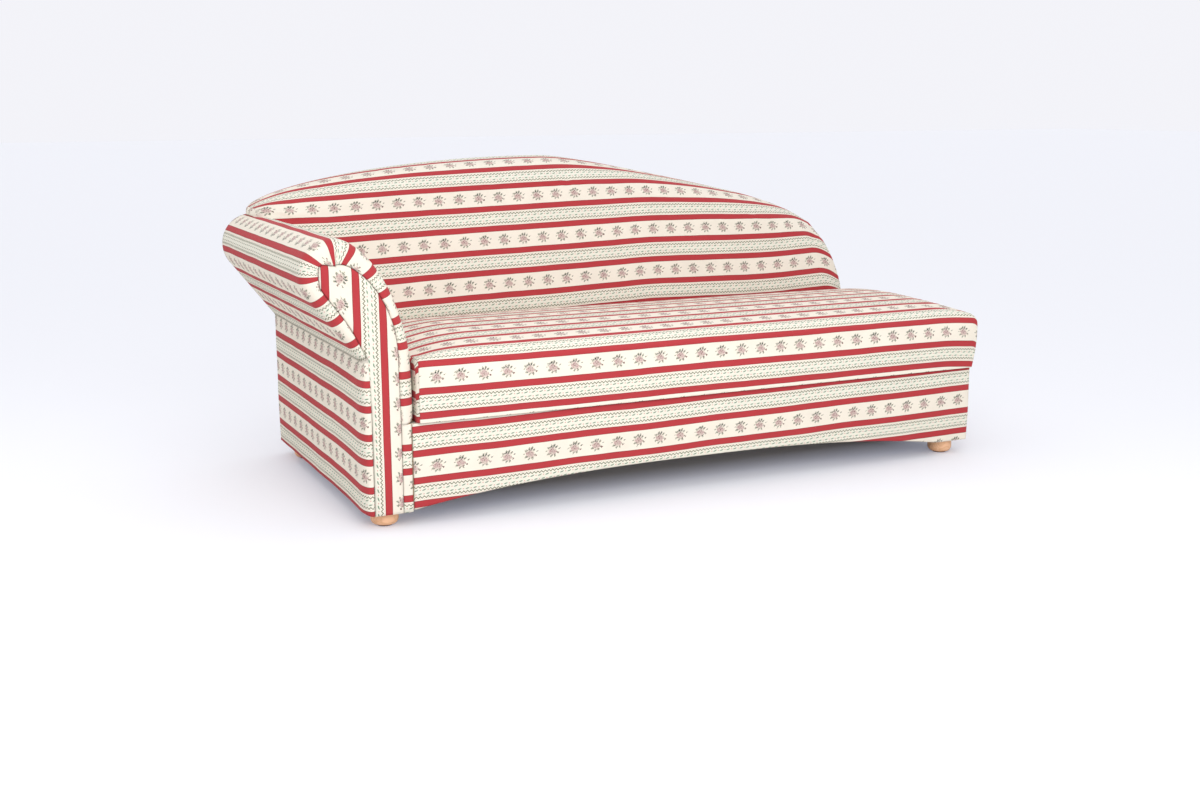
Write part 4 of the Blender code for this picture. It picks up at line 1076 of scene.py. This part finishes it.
z = bottom + low_round + (thickness - low_round - top_round) * part + out_z * radius
over_top = np.clip(1 - np.abs(centre_y - seat_middle) / half_depth, 0, 1)
z = z + seat_crown * dome * (1 - (1 - over_top) ** 2) * (out_z > 0.99) * (part > 0.5)
end_drop = rounding(from_left, 0.014, 0.014) + rounding(from_right, 0.030, 0.030)
z = bottom + (z - bottom) * (1 - end_drop / thickness)
y = y + 0.002 * np.sin(from_left / seat_length * math.pi) * (np.abs(out_y) > 0.99) * -np.sign(out_y)
end_out = 0.020
end_foot = 0.019
end_in = 0.004
end_widest = 0.65


def end_swell(z):
    """How far the free end stands out past the seat's own end, from its foot to its top."""
    up = (z - bottom) / thickness
    out = end_out * (1 - (1 - np.clip(up / end_widest, 0, 1)) ** 2)
    return out - end_foot - end_in * np.clip((up - end_widest) / (1 - end_widest), 0, 1) ** 2


x = stations + end_swell(z) * np.clip(1 - from_right / 0.05, 0, 1) ** 2
grid = stack(x, y, z)
mid_station = 60
front_points = 40
seat_girth = run_along(grid[:, mid_station, 1:])
front_reds = 0.301
seat_sprig = 0.1961
off_red = np.abs(z[:front_points, mid_station] - front_reds) + (np.abs(out_y[:front_points, 0]) < 0.9)
red_at = int(np.argmin(off_red))
level = seat_girth - seat_girth[red_at] + z[red_at, mid_station] - front_reds
level = level[:, None] + 0.0010 * ripple(stations, y, 0.6, 61)
level = level + 0.010 * np.clip(1 - from_right / 0.15, 0, 1) ** 1.5
measure = stack(stations - seat_sprig, level)
end_shift = 0.011
shifted = stack(stations - seat_sprig + 0.03, level + end_shift)
at_seam = int(np.argmin(np.abs(from_left - seam_at)))
# Painted shade at the seam of the left end piece and on the seat's underside.
shade_mask = 0.8 * seam_line(from_left - seam_at, 0.0012) + (part < 0.5) * (out_z < -0.9)
patches = [
    (grid[:, : at_seam + 1], shifted[:, : at_seam + 1], shade_mask[:, : at_seam + 1]),
    (grid[:, at_seam:], measure[:, at_seam:], shade_mask[:, at_seam:]),
]
for end, outside in ((0, -1), (-1, 1)):
    ring = grid[:, end]
    spine = np.clip(ring[:, 1], seat_low[1] + 0.08, seat_high[1] - 0.08)
    spine = stack(ring[:, 0], spine, bottom + thickness / 2)
    inner = ring + (spine - ring) * np.linspace(0, 1, 6)[:, None, None]
    if outside > 0:
        inner[..., 0] = seat_high[0] + end_swell(inner[..., 2])
    cloth_at = stack(outside * inner[..., 1], inner[..., 2] - front_reds + end_shift)
    patches.append((inner, cloth_at, 0.0))
seat = cover("seat_cover", patches, ("seat_cushion",), "seat")


def seat_held(points):
    """The seat's cloth is held under the seat, at the rear and at both ends."""
    under = points[:, 2] < bottom + 0.02
    behind = points[:, 1] > rear_edge
    beside = (points[:, 0] < seat_low[0] + 0.03) | (points[:, 0] > seat_high[0] - 0.02)
    return under | behind | beside


plump(seat, seat_held, most=0.010)

# Lining: a black dust cloth of matted fibres, stapled to the rails under the seat. It closes the frame below
# and keeps dust from falling out of the filling.
DUST_CLOTH = (0.012, 0.012, 0.013, 1)
DUST_CLOTH_PALE = (0.060, 0.058, 0.056, 1)
lining, shader, start = material("dust_cloth", Roughness=0.95, Specular_IOR_Level=0.15)
place = on_sofa(start)
fibres = noise(place, 900.0, 4.0)
cells = start.node("ShaderNodeTexVoronoi", {"Vector": place, "Scale": 700.0}, feature="DISTANCE_TO_EDGE")
matted = raised(fibres + cells, 0.4, 0.0003)
feed(shader, Base_Color=fibres.pick(DUST_CLOTH, DUST_CLOTH_PALE), Normal=matted)
seat.data.materials.append(lining)
for polygon in seat.data.polygons:
    low_enough = polygon.center.z < bottom + 0.001
    polygon.material_index = int(low_enough and polygon.normal.z < -0.9)


# Studio: a pale floor under soft light from above and from the front left, before a background of the floor's
# own tone. The floor's glow, seen by the camera, is painted dark under the sofa as a painted shadow.
def background_seen(wire):
    """1 for the camera and for mirror-like rays, 0 for rays that carry the light."""
    seen = 0.0
    for ray in ("Is Camera Ray", "Is Glossy Ray", "Is Transmission Ray"):
        seen = wire.node("ShaderNodeLightPath", output=ray).maths("MAXIMUM", seen)
    return seen


FLOOR = (0.73, 0.725, 0.715, 1)
FLOOR_GLOW = (0.155, 0.170, 0.225, 1)
FLOOR_PAINTED_SHADOW = (0.020, 0.021, 0.026, 1)
NO_GLOW = (0, 0, 0, 1)
bpy.ops.mesh.primitive_plane_add(size=80)
floor = bpy.context.object
floor.name = "floor"
pale, shader, start = material("pale_floor", Roughness=0.95, Base_Color=FLOOR, Emission_Strength=1.0)
place = on_sofa(start)
shadow_front = 0.18
shadow_inset = 0.10
shadow_soft = 0.16
shadow_low = origin + (base_low[0], shadow_front, 0.0)
shadow_high = origin + (base_high[0] - shadow_inset, side_high[1] - shadow_inset, 0.0)
# Painted shadow: the floor's glow falls to nearly black in a soft patch under the sofa.
painted_shadow = 1.0
for k in range(2):
    middle = (shadow_low[k] + shadow_high[k]) / 2
    painted_shadow = line(abs(part_of(place, k) - middle), shadow_high[k] - middle, shadow_soft) * painted_shadow
glow = painted_shadow.pick(FLOOR_GLOW, FLOOR_PAINTED_SHADOW)
feed(shader, Emission_Color=background_seen(start).pick(NO_GLOW, glow))
floor.data.materials.append(pale)

SKY = (0.60, 0.60, 0.62, 1)
BACKDROP = (0.90, 0.90, 0.945, 1)
world = bpy.data.worlds.new("studio")
bpy.context.scene.world = world
world.use_nodes = True
colour = background_seen(Wire(world.node_tree)).pick(SKY, BACKDROP)
world.node_tree.links.new(colour.socket, world.node_tree.nodes["Background"].inputs["Color"])


def softbox(name, place, aim, size, power):
    """Hangs a rectangular lamp that faces a point."""
    lamp = bpy.data.objects.new(name, bpy.data.lights.new(name, "AREA"))
    lamp.data.shape = "RECTANGLE"
    lamp.data.size, lamp.data.size_y = size
    lamp.data.energy = power
    lamp.location = place
    lamp.rotation_euler = (Vector(aim) - Vector(place)).to_track_quat("-Z", "Y").to_euler()
    bpy.context.scene.collection.objects.link(lamp)


softbox("key", (-0.9, -2.9, 1.95), (-0.4, 0.0, 0.45), (1.6, 1.2), power=31)
softbox("front", (-0.2, -3.8, 0.85), (-0.1, 0.0, 0.30), (2.2, 1.0), power=27)
softbox("fill", (-3.4, -0.3, 1.3), (-0.9, 0.0, 0.35), (1.6, 1.6), power=9)
sun = bpy.data.objects.new("overhead", bpy.data.lights.new("overhead", "SUN"))
sun.data.energy = 1.15
sun.data.angle = math.radians(110)
sun.rotation_euler = (math.radians(-6), 0, 0)
bpy.context.scene.collection.objects.link(sun)

camera = bpy.data.objects.new("camera", bpy.data.cameras.new("camera"))
camera.data.lens = 42.99
camera.data.sensor_width = 36.0
camera.location = (-1.964, -4.0351, 1.1176)
camera.rotation_euler = (math.radians(78.2083), math.radians(0.1184), math.radians(-25.7484))
bpy.context.scene.collection.objects.link(camera)
bpy.context.scene.camera = camera
bpy.context.scene.view_settings.view_transform = "Standard"
